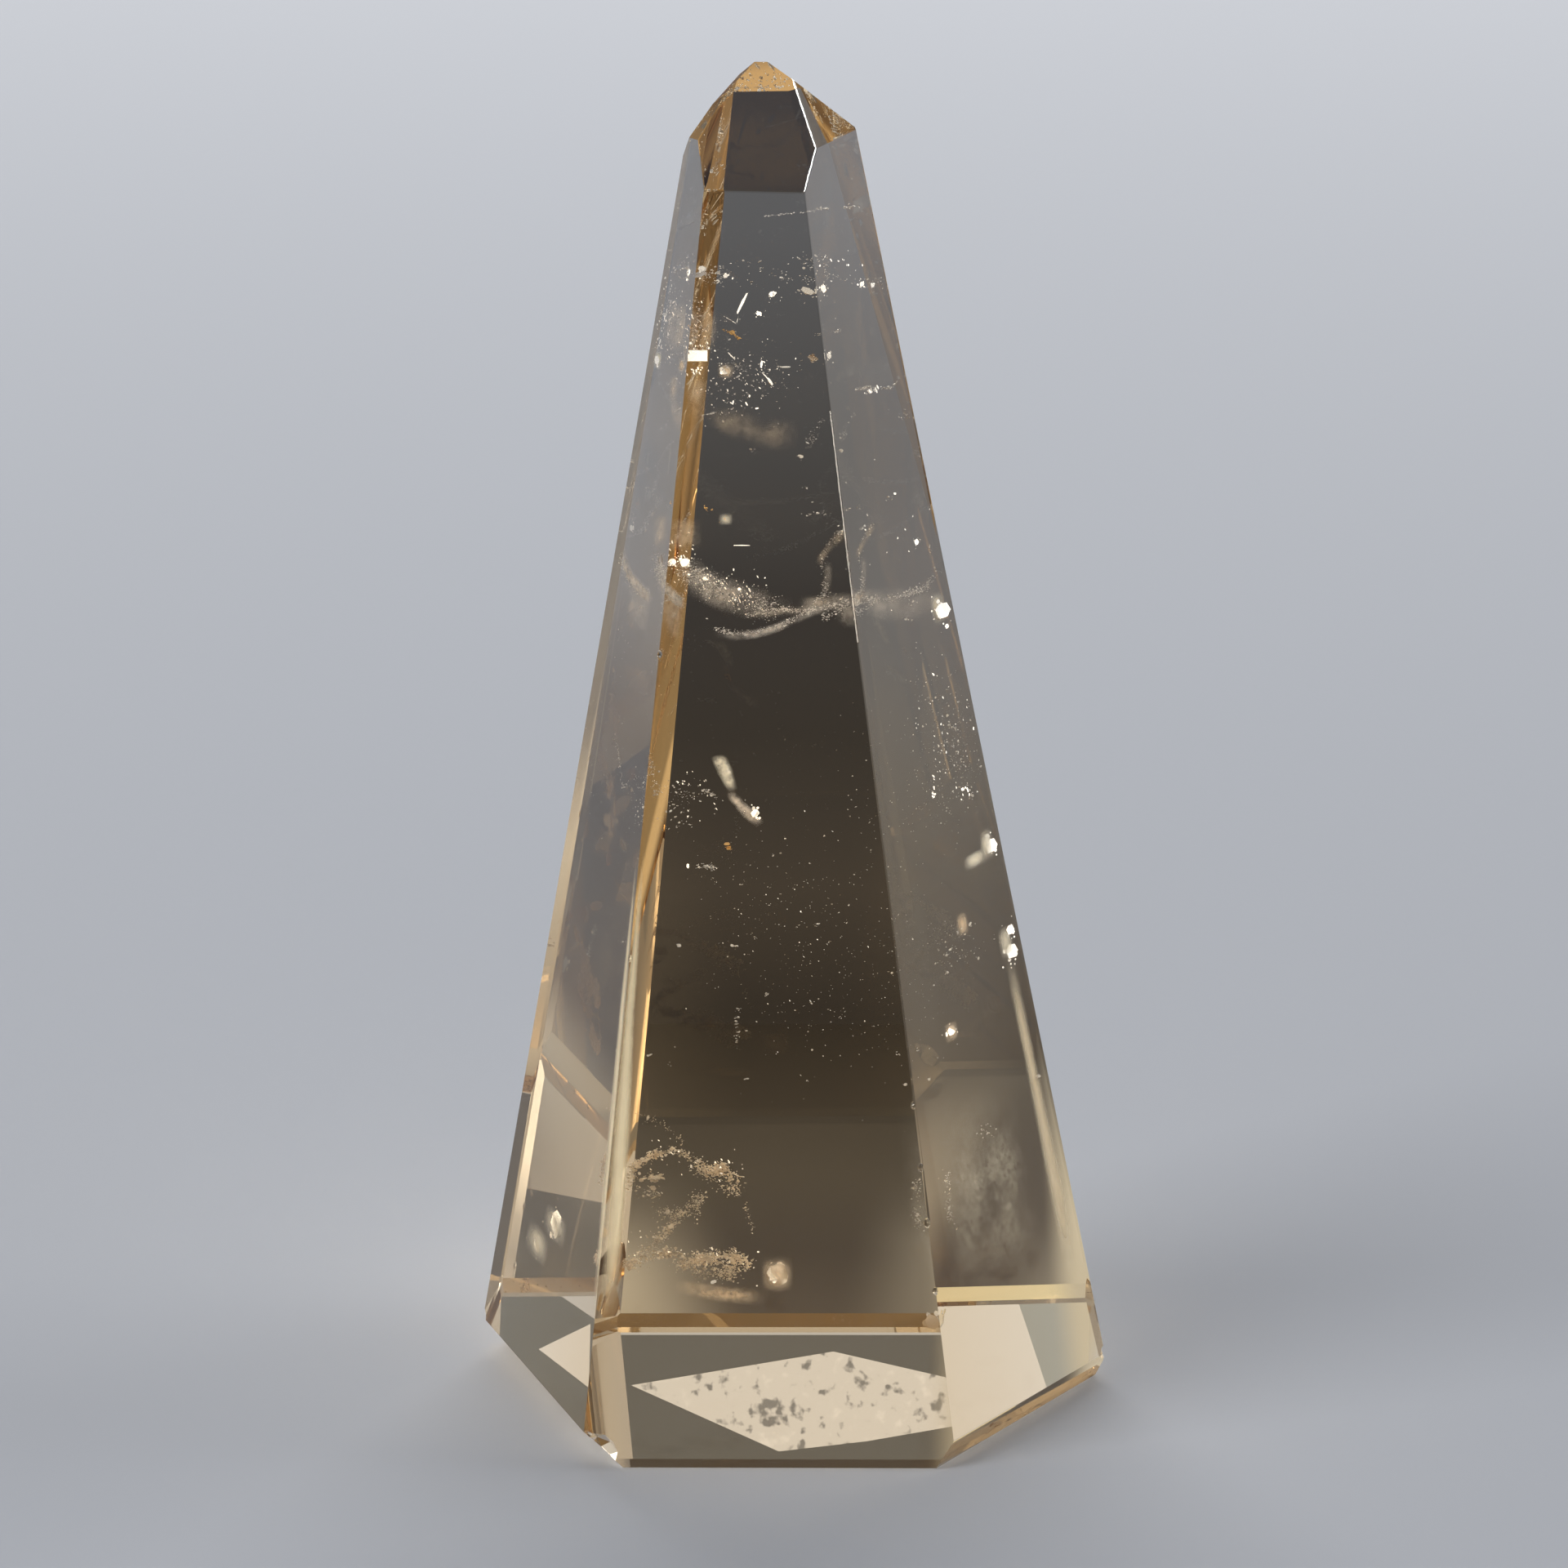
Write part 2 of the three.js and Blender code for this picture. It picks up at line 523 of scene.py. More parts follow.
class FleckField:
    """Collects flecks, all copies of one modelled fleck, and joins them into one piece."""

    def __init__(self, seed):
        self.draw = random.Random(seed)
        self.flecks = []
        self.clearance = bpy.context.scene.citrine_inclusions.clearance
        self.size = bpy.context.scene.citrine_inclusions.fleck_size / MM
        self.density = bpy.context.scene.citrine_inclusions.fleck_density

    def add(self, place, size, normal=None, stretch=1.0, turn=None):
        """One fleck of a size in millimetres."""
        if not is_sealed_in(place, self.clearance + size * 0.5 * MM):
            return
        if normal is None:
            normal = random_tilt(self.draw, 0.45)
        turn = self.draw.uniform(0, math.tau) if turn is None else turn
        self.flecks.append((place, size * MM, normal, stretch, turn))

    def strand(self, points, spread, per_mm, size=1.0, tilt=0.3, clump=0.6):
        """Flecks along a path, in clumps."""
        length = sum((b - a).length for a, b in zip(points, points[1:])) / MM
        centres = [self.draw.random() for _ in range(max(2, round(length * 1.6)))]
        for _ in range(round(length * per_mm * self.density)):
            if self.draw.random() < clump:
                share = self.draw.choice(centres) + self.draw.gauss(0, 0.25 / length)
            else:
                share = self.draw.random()
            place = along(points, min(max(share, 0), 1))
            scatter = Vector([self.draw.gauss(0, spread) for _ in range(3)]) * MM
            self.add(place + scatter, self.fleck_size(size), random_tilt(self.draw, tilt))

    def cloud(self, centre, reach, count, size=1.0, tilt=0.5):
        """Flecks round a centre; the reach is in millimetres along X, Y and Z."""
        for _ in range(round(count * self.density)):
            offset = Vector([self.draw.gauss(0, r) for r in reach]) * MM
            self.add(centre + offset, self.fleck_size(size), random_tilt(self.draw, tilt))

    def patch(self, window, across, height, depth, reach, count, size=1.0):
        """Flecks round a place under a window; the reach is in millimetres across, up and deep."""
        for _ in range(round(count * self.density)):
            aside, up, deeper = (self.draw.gauss(0, r) for r in reach)
            place = window.under(across + aside, height + up, max(depth + deeper, 0.4))
            self.add(place, self.fleck_size(size))

    def dash(self, start, end, width, view, normal):
        """One long thin fleck that lies in a plane and is seen from one place to the other."""
        seen = (end - start).normalized()
        run = onto_plane(end - start, view, normal)
        aside = normal.cross(run).normalized()
        seen_aside = aside - view * aside.dot(view)
        seen_aside -= seen * seen_aside.dot(seen)
        width /= max(seen_aside.length, 0.2)
        stretch = run.length / (width * MM)
        self.add(start + run / 2, width, normal, stretch, turn_along(normal, run.normalized()))

    def fleck_size(self, scale):
        return self.size * scale * self.draw.lognormvariate(0, 0.45)

    def make(self, name, material):
        """Join the flecks into one object."""
        shape = one_fleck()
        corners = [vertex.co.copy() for vertex in shape.data.vertices]
        faces = [tuple(polygon.vertices) for polygon in shape.data.polygons]
        bpy.data.objects.remove(shape)
        all_corners, all_faces = [], []
        for place, size, normal, stretch, turn in self.flecks:
            start = len(all_corners)
            pose = normal.to_track_quat("Z", "Y").to_matrix() @ Matrix.Rotation(turn, 3, "Z")
            for corner in corners:
                wide = Vector((corner.x * stretch, corner.y, corner.z)) * size
                all_corners.append(place + pose @ wide)
            all_faces.extend(tuple(index + start for index in face) for face in faces)
        mesh = bpy.data.meshes.new(name)
        mesh.from_pydata(all_corners, [], all_faces)
        piece = bpy.data.objects.new(name, mesh)
        bpy.context.scene.collection.objects.link(piece)
        finish_piece(piece, material)
        return piece


def add_film(name, window, rows, material):
    """A closed film between two edges.

    A row is a point of each edge, across and up, and the depth of both, in millimetres.
    """
    clearance = bpy.context.scene.citrine_inclusions.clearance * 2
    upper = [sealed(window.under(row[0], row[1], row[4]), clearance) for row in rows]
    lower = [sealed(window.under(row[2], row[3], row[4]), clearance) for row in rows]
    deselect_all()
    bpy.ops.mesh.primitive_grid_add(x_subdivisions=24, y_subdivisions=3, size=1)
    film = bpy.context.active_object
    film.name = name
    for vertex in film.data.vertices:
        lengthwise, sideways = vertex.co.x + 0.5, vertex.co.y + 0.5
        vertex.co = along(upper, lengthwise).lerp(along(lower, lengthwise), sideways)
    bpy.ops.object.modifier_add(type="SOLIDIFY")
    film.modifiers[-1].thickness = 0.01 * MM
    bpy.ops.object.modifier_apply(modifier=film.modifiers[-1].name)
    finish_piece(film, material)


# Operators for the stone and what is sealed in it


class CITRINE_OT_stone(bpy.types.Operator):
    """The polished stone, a bevelled copy of the frame's own solid"""

    bl_idname = "citrine.stone"
    bl_label = "Polished stone"

    def execute(self, context):
        settings = context.scene.citrine_stone
        select_only(frame["nodes"]["crystal"])
        bpy.ops.object.duplicate()
        stone = context.active_object
        stone.name = "polished_stone"
        del stone["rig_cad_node"]
        bpy.ops.object.mode_set(mode="EDIT")
        bpy.ops.mesh.select_all(action="SELECT")
        bpy.ops.mesh.remove_doubles(threshold=0.002 * MM)
        bpy.ops.mesh.dissolve_limited(angle_limit=math.radians(0.3))
        bpy.ops.mesh.select_mode(type="EDGE")
        bpy.ops.mesh.select_all(action="DESELECT")
        bpy.ops.object.mode_set(mode="OBJECT")
        self.select_front_edges(stone.data, settings.least_chip_edge)
        bpy.ops.object.mode_set(mode="EDIT")
        bpy.ops.mesh.bevel(offset=settings.edge_bevel, segments=2, clamp_overlap=False)
        bpy.ops.mesh.select_all(action="SELECT")
        bpy.ops.mesh.normals_make_consistent(inside=False)
        bpy.ops.object.mode_set(mode="OBJECT")
        stone.data.shade_flat()
        finish_piece(stone, citrine_material(settings))
        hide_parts("crystal")
        return {"FINISHED"}

    def select_front_edges(self, mesh, least_chip_edge):
        """Select the long edges between faces that look to the front, apart from those at chips."""
        front_faces = [polygon for polygon in mesh.polygons if polygon.normal.y < -0.15]
        keys = [key for polygon in front_faces for key in polygon.edge_keys]
        lengths = {}
        for edge in mesh.edges:
            start, end = (mesh.vertices[index].co for index in edge.vertices)
            lengths[edge.key] = (end - start).length
        at_chips = {i for key, length in lengths.items() if length < least_chip_edge for i in key}
        for edge in mesh.edges:
            is_long = lengths[edge.key] > 1.2 * MM
            edge.select = is_long and keys.count(edge.key) == 2 and at_chips.isdisjoint(edge.key)


class CITRINE_OT_films(bpy.types.Operator):
    """Milky films: the gauze of the main veil and the haze beside it, and painted highlights: bands
    of light along two edges and soft halos round glints
    """

    bl_idname = "citrine.films"
    bl_label = "Milky films"

    def execute(self, context):
        front, right, left = Window(-90), Window(-36), Window(201)
        # name, window, colour, strength, rows
        films = (
            ("film_cloud", front, MILKY, 0.55, [
                (-5.7, 43.0, -5.3, 41.2, 3), (-4.6, 42.5, -4.7, 40.4, 3.5),
                (-3.5, 41.8, -3.7, 39.9, 4), (-2.2, 41.3, -2.4, 39.5, 5),
                (-1.0, 40.9, -1.0, 39.4, 6), (0.3, 40.4, 0.3, 39.6, 6.5),
            ]),
            ("film_strand", front, MILKY, 0.5, [
                (-3.8, 39.1, -3.7, 38.7, 2), (-2.8, 39.0, -2.8, 38.5, 2),
                (-1.8, 39.1, -1.7, 38.6, 2), (-0.9, 39.35, -0.8, 38.85, 2.2),
                (0, 39.75, 0.1, 39.25, 2.5), (0.8, 40.1, 0.9, 39.6, 2.8),
                (1.6, 40.4, 1.7, 39.85, 3), (2.7, 40.65, 2.8, 40.05, 3),
            ]),
            ("film_strand_far", front, MILKY, 0.45, [
                (-2.7, 40.0, -2.7, 39.5, 7), (-1.3, 40.1, -1.3, 39.6, 7), (0, 40.15, 0, 39.65, 6.5),
                (1.2, 40.3, 1.2, 39.8, 6),
            ]),
            ("film_join", front, MILKY, 0.45, [
                (0.2, 40.7, 0.2, 39.7, 5), (1.2, 40.7, 1.2, 39.8, 5), (2.0, 40.8, 2.1, 40.0, 4),
                (2.8, 40.9, 2.9, 40.2, 4),
            ]),
            ("film_wisp_upper", front, WARM, 0.35, [
                (2.2, 43.9, 2.7, 43.5, 5), (1.6, 43.1, 2.0, 42.8, 5), (1.2, 42.6, 1.6, 42.4, 5),
                (0.9, 42.1, 1.3, 41.9, 5),
            ]),
            ("film_wisp_lower", front, MILKY, 0.2, [
                (1.4, 42.3, 1.9, 42.2, 5), (1.35, 41.4, 1.85, 41.4, 5), (1.2, 40.6, 1.7, 40.6, 5),
            ]),
            ("film_arc_left", left, MILKY, 1.6, [
                (-5.8, 41.2, -4.9, 41.6, 2), (-5.6, 40.6, -4.2, 41.0, 2),
                (-4.6, 40.1, -3.4, 40.6, 2.5), (-3.6, 39.8, -2.4, 40.5, 3),
                (-2.3, 39.6, -1.4, 40.4, 3), (-0.5, 39.5, -0.1, 40.3, 3),
            ]),
            ("film_haze_left", left, MILKY, 0.4, [
                (-4.4, 40.3, -3.9, 38.5, 3), (-2.4, 40.3, -2.0, 38.0, 3),
                (-0.3, 40.2, -0.2, 38.0, 3),
            ]),
            ("film_haze_right", right, MILKY, 0.3, [
                (-0.7, 41.1, -0.6, 39.2, 4), (1.0, 40.6, 1.0, 38.7, 4), (3.3, 40.1, 3.3, 38.2, 3.5),
                (5.7, 40.2, 5.7, 38.0, 2.5),
            ]),
            ("film_band_high", front, WARM, 0.4, [
                (-4.7, 53.8, -3.4, 53.8, 3), (-4.7, 52.7, -3.4, 52.7, 3),
                (-4.9, 51.6, -3.5, 51.6, 3),
            ]),
            ("film_band_middle", front, WARM, 0.4, [
                (-5.0, 50.6, -3.9, 50.6, 3), (-5.0, 49.5, -3.9, 49.5, 3),
                (-5.1, 48.4, -4.0, 48.4, 3),
            ]),
            ("film_band_low", front, WARM, 0.35, [
                (-6.0, 44.2, -4.1, 44.2, 3), (-6.0, 43.4, -4.1, 43.4, 3),
                (-6.0, 42.6, -4.1, 42.6, 3),
            ]),
            ("film_left_high", left, MILKY, 0.5, [
                (-6.2, 53.4, -1.0, 53.4, 1), (-6.2, 52.3, -1.0, 52.3, 1),
                (-6.2, 51.0, -1.0, 51.0, 1.2),
            ]),
            # painted highlight: a smooth golden film under the front-left edge stands in for the
            # band of light along it
            ("painted_edge_glow_left", front, PAINTED_EDGE_GLOW_GOLD, 1.1, [
                (-7.2, 29.0, -6.8, 29.0, 0.7), (-8.3, 21.5, -7.3, 21.5, 0.7),
                (-8.7, 15.5, -7.5, 15.5, 0.8), (-9.0, 11.2, -7.8, 11.2, 0.9),
                (-9.1, 8.5, -7.9, 8.5, 0.9), (-9.1, 6.5, -8.0, 6.5, 0.9),
            ]),
            # painted highlight: a smooth cream film under the right edge stands in for the line of
            # light along it
            ("painted_edge_glow_right", right, PAINTED_EDGE_GLOW_CREAM, 0.75, [
                (5.6, 22.0, 7.4, 21.6, 2), (6.0, 16.6, 8.6, 15.9, 2.5), (6.2, 10.6, 9.4, 9.6, 2.5),
                (6.4, 5.6, 9.6, 4.8, 2.5),
            ]),
            ("film_right_low", right, CREAM, 0.22, [
                (-2.0, 17.5, -3.0, 8.0, 4), (1.5, 17.0, 1.0, 6.5, 4), (5.5, 16.5, 5.5, 6.0, 3.5),
            ]),
            ("film_smoke", front, WARM, 0.2, [
                (-4.2, 49.4, -4.2, 48.2, 4), (-2.8, 49.2, -2.8, 47.6, 4.5),
                (-1.2, 48.9, -1.2, 47.1, 5), (0.4, 48.7, 0.4, 47.2, 5),
            ]),
            ("film_streak_upper", front, CREAM, 1.6, [
                (-3.9, 33.3, -3.1, 33.4, 5), (-3.55, 32.5, -2.75, 32.7, 5),
                (-3.0, 31.5, -2.5, 31.7, 5),
            ]),
            ("film_streak_lower", front, MILKY, 1.1, [
                (-3.2, 31.5, -2.8, 31.8, 6), (-2.4, 30.5, -1.9, 30.9, 6),
                (-1.7, 29.9, -1.2, 30.2, 6),
            ]),
            ("film_golden_low", front, WARM, 0.7, [
                (-5.6, 9.1, -5.6, 8.2, 6), (-3.4, 8.7, -3.4, 7.8, 6), (-1.0, 8.6, -1.0, 7.6, 6),
            ]),
        )
        # the painted edge highlights stay smooth, without blotches
        even_edge_glows = ("painted_edge_glow_left", "painted_edge_glow_right")
        for name, window, color, strength, rows in films:
            blotches = () if name in even_edge_glows else ((500, 0.25, 0.7), (3600, 0.1, 0.7))
            add_film(name, window, rows, film_material(name, color, strength, 0.3, blotches))
        # painted highlights: soft cream and warm films that stand in for the blurred glow round
        # glints
        # window, across, height, depth, half width, half height
        painted_glint_halos = (
            (right, 5.9, 27.0, 2.5, 0.6, 0.8), (right, 4.8, 26.6, 2.5, 1.0, 0.4),
            (right, 3.0, 24.0, 4, 0.5, 0.6), (right, 6.2, 22.2, 2.5, 0.7, 0.8),
            (right, 0.8, 19.5, 4, 0.6, 0.5), (front, -0.7, 9.2, 5, 0.8, 0.9),
            (left, -1.0, 9.2, 3, 1.6, 0.8), (left, -2.9, 7.6, 3, 1.6, 0.9),
            (front, -3.1, 50.8, 4, 0.4, 0.35), (left, -4.1, 50.4, 1.2, 0.6, 0.5),
            (front, -3.1, 44.1, 3, 0.35, 0.3), (right, 5.4, 38.4, 2, 0.9, 0.8),
        )
        near_painted_glint = film_material("painted_glint_cream", CREAM, 1.0, 0.5, [(900, 0.1, 0.6)])
        deep_painted_glint = film_material("painted_glint_warm", WARM, 1.0, 0.5, [(900, 0.1, 0.6)])
        for index, (window, across, height, depth, wide, tall) in enumerate(painted_glint_halos):
            ends = (across - wide, across + wide)
            rows = [(end, height + tall, end, height - tall, depth) for end in ends]
            material = near_painted_glint if depth < 4 else deep_painted_glint
            add_film(f"painted_glint_halo_{index + 1}", window, rows, material)
        return {"FINISHED"}


class CITRINE_OT_main_veil(bpy.types.Operator):
    """The wavy veil that crosses the stone two thirds of the way up"""

    bl_idname = "citrine.main_veil"
    bl_label = "Main veil"

    def execute(self, context):
        settings = context.scene.citrine_inclusions
        front, right, left = Window(-90), Window(-36), Window(201)
        veil = FleckField(settings.seed)
        near = [
            (-3.6, 39.1, 2), (-2.9, 38.9, 2), (-1.6, 38.9, 2), (-0.5, 39.3, 2.5), (0.9, 40.0, 3),
            (2.6, 40.4, 3),
        ]
        veil.strand(front.places(near), 0.06, 60, 0.6)
        far = [(-2.2, 39.7, 7), (-0.5, 40.0, 7), (0.6, 39.9, 6), (2.6, 40.3, 5)]
        veil.strand(front.places(far), 0.08, 60, 0.6)
        cloud = [
            (-5.3, 42.1, 3), (-4.5, 41.4, 3.5), (-3.4, 40.9, 4), (-2.4, 40.5, 5), (-0.9, 39.9, 6),
        ]
        veil.strand(front.places(cloud), 0.3, 200, 0.45)
        veil.strand(front.places(cloud[:3]), 0.2, 90, 0.8)
        wisp = [(2.3, 43.6, 5), (1.6, 42.9, 5), (1.3, 42.1, 5), (1.5, 40.7, 5), (0.9, 40.2, 5)]
        veil.strand(front.places(wisp), 0.09, 45, 0.5)
        left_arc = [(-5.7, 41.0, 3), (-4.3, 40.2, 3), (-2.4, 39.9, 3), (-1.0, 40.1, 3)]
        veil.strand(left.places(left_arc), 0.14, 110, 0.6)
        right_arc = [
            (-1.0, 39.8, 4), (0.5, 39.9, 4), (2.5, 39.7, 3.5), (4.4, 39.6, 3), (5.8, 40.2, 2),
        ]
        veil.strand(right.places(right_arc), 0.1, 80, 0.6)
        veil.make("main_veil", fleck_material("veil_white", settings.veil_color, 0.2, 0.35))
        return {"FINISHED"}


class CITRINE_OT_upper_flecks(bpy.types.Operator):
    """The flecks, flakes and small star of the upper third"""

    bl_idname = "citrine.upper_flecks"
    bl_label = "Upper flecks"

    def execute(self, context):
        settings = context.scene.citrine_inclusions
        front, right, left = Window(-90), Window(-36), Window(201)
        field = FleckField(settings.seed + 1)

        # a thin dotted line just under the two front faces
        field.strand([front.under(-1.3, 57.8, 1.5), front.under(0.7, 58.0, 1)], 0.02, 40, 0.5)
        field.strand([right.under(0.9, 58.0, 1), right.under(1.8, 57.8, 1)], 0.03, 60, 0.8)
        field.strand([right.under(2.6, 57.7, 1), right.under(4.4, 57.4, 1)], 0.05, 14, 1.0)

        # a level plane of loose flecks
        rim = [(-4.2, 55.2, 4), (-2.6, 55.7, 4.5), (-1.2, 55.4, 4), (0.8, 54.9, 3)]
        field.strand(front.places(rim), 0.14, 9, 0.8)
        field.cloud(front.under(-1.6, 54.9, 4), (1.4, 1.2, 0.3), 24, 0.6)
        field.strand([front.under(-0.5, 55.0, 3), front.under(0.7, 54.9, 3)], 0.05, 16, 0.8)
        field.strand([front.under(-4.2, 48.8, 3), front.under(-3.5, 48.95, 3)], 0.02, 60, 0.7)
        rim = [(0.2, 56.2, 2), (0.9, 55.7, 2), (1.6, 54.8, 2), (3.2, 54.0, 2.5), (5.1, 53.7, 2)]
        field.strand(right.places(rim), 0.16, 14, 0.8)
        rim = [(-4.6, 54.4, 2), (-3.2, 54.8, 2.5), (-1.5, 55.1, 3)]
        field.strand(left.places(rim), 0.2, 30, 0.9)
        field.patch(left, -3.4, 52.2, 0.9, (1.2, 0.9, 0.3), 70, 0.6)
        field.patch(front, -4.2, 52.6, 2, (0.3, 0.7, 0.5), 90, 0.6)
        field.patch(front, -4.0, 55.2, 2, (0.3, 0.12, 0.3), 24, 0.8)
        field.patch(front, -3.2, 52.3, 3, (0.6, 0.5, 0.5), 60, 0.5)

        # a star of short dashes
        field.cloud(front.under(-1.5, 50.7, 4), (0.7, 0.7, 0.7), 90, 0.75)
        field.cloud(front.under(-3.0, 49.8, 4), (0.6, 0.6, 0.5), 45, 0.8)
        field.strand([front.under(-0.7, 51.0, 4), front.under(-0.4, 51.0, 4)], 0.02, 60, 0.9)
        field.patch(front, -2.7, 51.0, 4, (0.35, 0.12, 0.3), 60, 0.6)

        # thin lines and dots of the right face
        line = [(1.7, 49.5, 1.5), (2.6, 49.4, 1.5), (4.2, 49.0, 1.5), (4.8, 49.1, 1.5)]
        field.strand(right.places(line), 0.04, 60, 0.8)
        field.strand([right.under(0.5, 52.4, 2), right.under(1.2, 52.3, 2)], 0.04, 30, 0.7)
        field.strand([right.under(0.0, 47.7, 4), right.under(1.3, 48.5, 4)], 0.12, 60, 0.5)
        field.cloud(right.under(5.0, 47.6, 2), (0.4, 0.4, 0.15), 25, 1.1)

        # loose single flecks down to the main veil
        for across, height in ((0.3, 46.9), (0.6, 45.5), (-1.8, 47.2), (0.6, 44.3), (1.5, 44.4)):
            field.cloud(front.under(across, height, 5), (0.12, 0.1, 0.05), 5, 1.0)
        singles = ((0.4, 43.4), (4.3, 41.8), (5.2, 41.2), (2.8, 44.2), (3.2, 39.2), (2.6, 38.6))
        for across, height in singles:
            field.cloud(right.under(across, height, 3), (0.12, 0.12, 0.08), 8, 1.1)
        curve = [(-1.4, 44.2, 3), (-2.3, 43.2, 3), (-2.5, 42.6, 3)]
        field.strand(left.places(curve), 0.05, 40, 0.6)
        field.cloud(left.under(-1.2, 41.7, 3), (0.15, 0.1, 0.4), 30, 0.8)
        material = fleck_material("fleck_white", settings.veil_color, 0.5, 0.25)
        field.make("upper_flecks", material)
        return {"FINISHED"}


class CITRINE_OT_lower_veils(bpy.types.Operator):
    """The crusty, faintly copper veils low on the left, behind the front face"""

    bl_idname = "citrine.lower_veils"
    bl_label = "Lower veils"

    def execute(self, context):
        settings = context.scene.citrine_inclusions
        front = Window(-90)
        field = FleckField(settings.seed + 2)
        # spread, flecks per millimetre, size, path
        paths = (
            (0.10, 150, 1.0,
             [(-7.4, 14.2, 3), (-6.6, 14.7, 3.5), (-5.4, 15.0, 4), (-4.7, 14.6, 4)]),
            (0.16, 190, 1.1,
             [(-4.5, 14.3, 4), (-4.0, 14.0, 4), (-3.2, 14.1, 4.5), (-2.5, 13.3, 4.5)]),
            (0.22, 70, 0.7,
             [(-4.0, 13.8, 4), (-3.0, 13.2, 4.5), (-2.6, 13.1, 4.5)]),
            (0.14, 90, 0.8,
             [(-7.5, 14.0, 3), (-7.6, 13.4, 3), (-7.2, 13.0, 3), (-6.4, 12.9, 3.5)]),
            (0.10, 30, 0.6,
             [(-7.2, 16.6, 3), (-6.2, 16.3, 3.5), (-5.1, 15.4, 4)]),
            (0.15, 120, 0.8,
             [(-6.4, 12.1, 4), (-5.5, 11.9, 4), (-4.8, 12.2, 4), (-4.3, 12.8, 4)]),
            (0.12, 60, 0.7,
             [(-4.3, 12.8, 4), (-4.4, 12.1, 4), (-4.5, 11.5, 4)]),
            (0.12, 130, 0.8,
             [(-5.4, 11.7, 4), (-6.0, 11.0, 3.5), (-6.7, 10.3, 3.5), (-7.7, 9.8, 3)]),
            (0.12, 170, 1.0,
             [(-7.7, 9.6, 3), (-6.8, 9.9, 3.5), (-5.9, 10.2, 4), (-5.1, 10.0, 4)]),
            (0.16, 240, 1.0,
             [(-5.2, 9.6, 4), (-4.5, 9.9, 4), (-3.5, 9.9, 4.5), (-2.8, 10.1, 5), (-2.0, 9.6, 5)]),
            (0.22, 180, 0.9,
             [(-4.8, 9.4, 4), (-3.6, 9.3, 4.5), (-2.8, 9.3, 5)]),
            (0.07, 16, 0.7,
             [(-2.2, 12.5, 5), (-1.9, 11.4, 5), (-1.9, 10.6, 5)]),
        )
        for spread, per_mm, size, path in paths:
            field.strand(front.places(path), spread, per_mm, size, tilt=0.6, clump=0.75)
        field.cloud(front.under(-6.6, 13.6, 3.5), (0.35, 0.3, 0.2), 30, 2.2, tilt=0.6)
        field.make("lower_veils", fleck_material("veil_copper", COPPER, 0.6, 0.3))
        return {"FINISHED"}


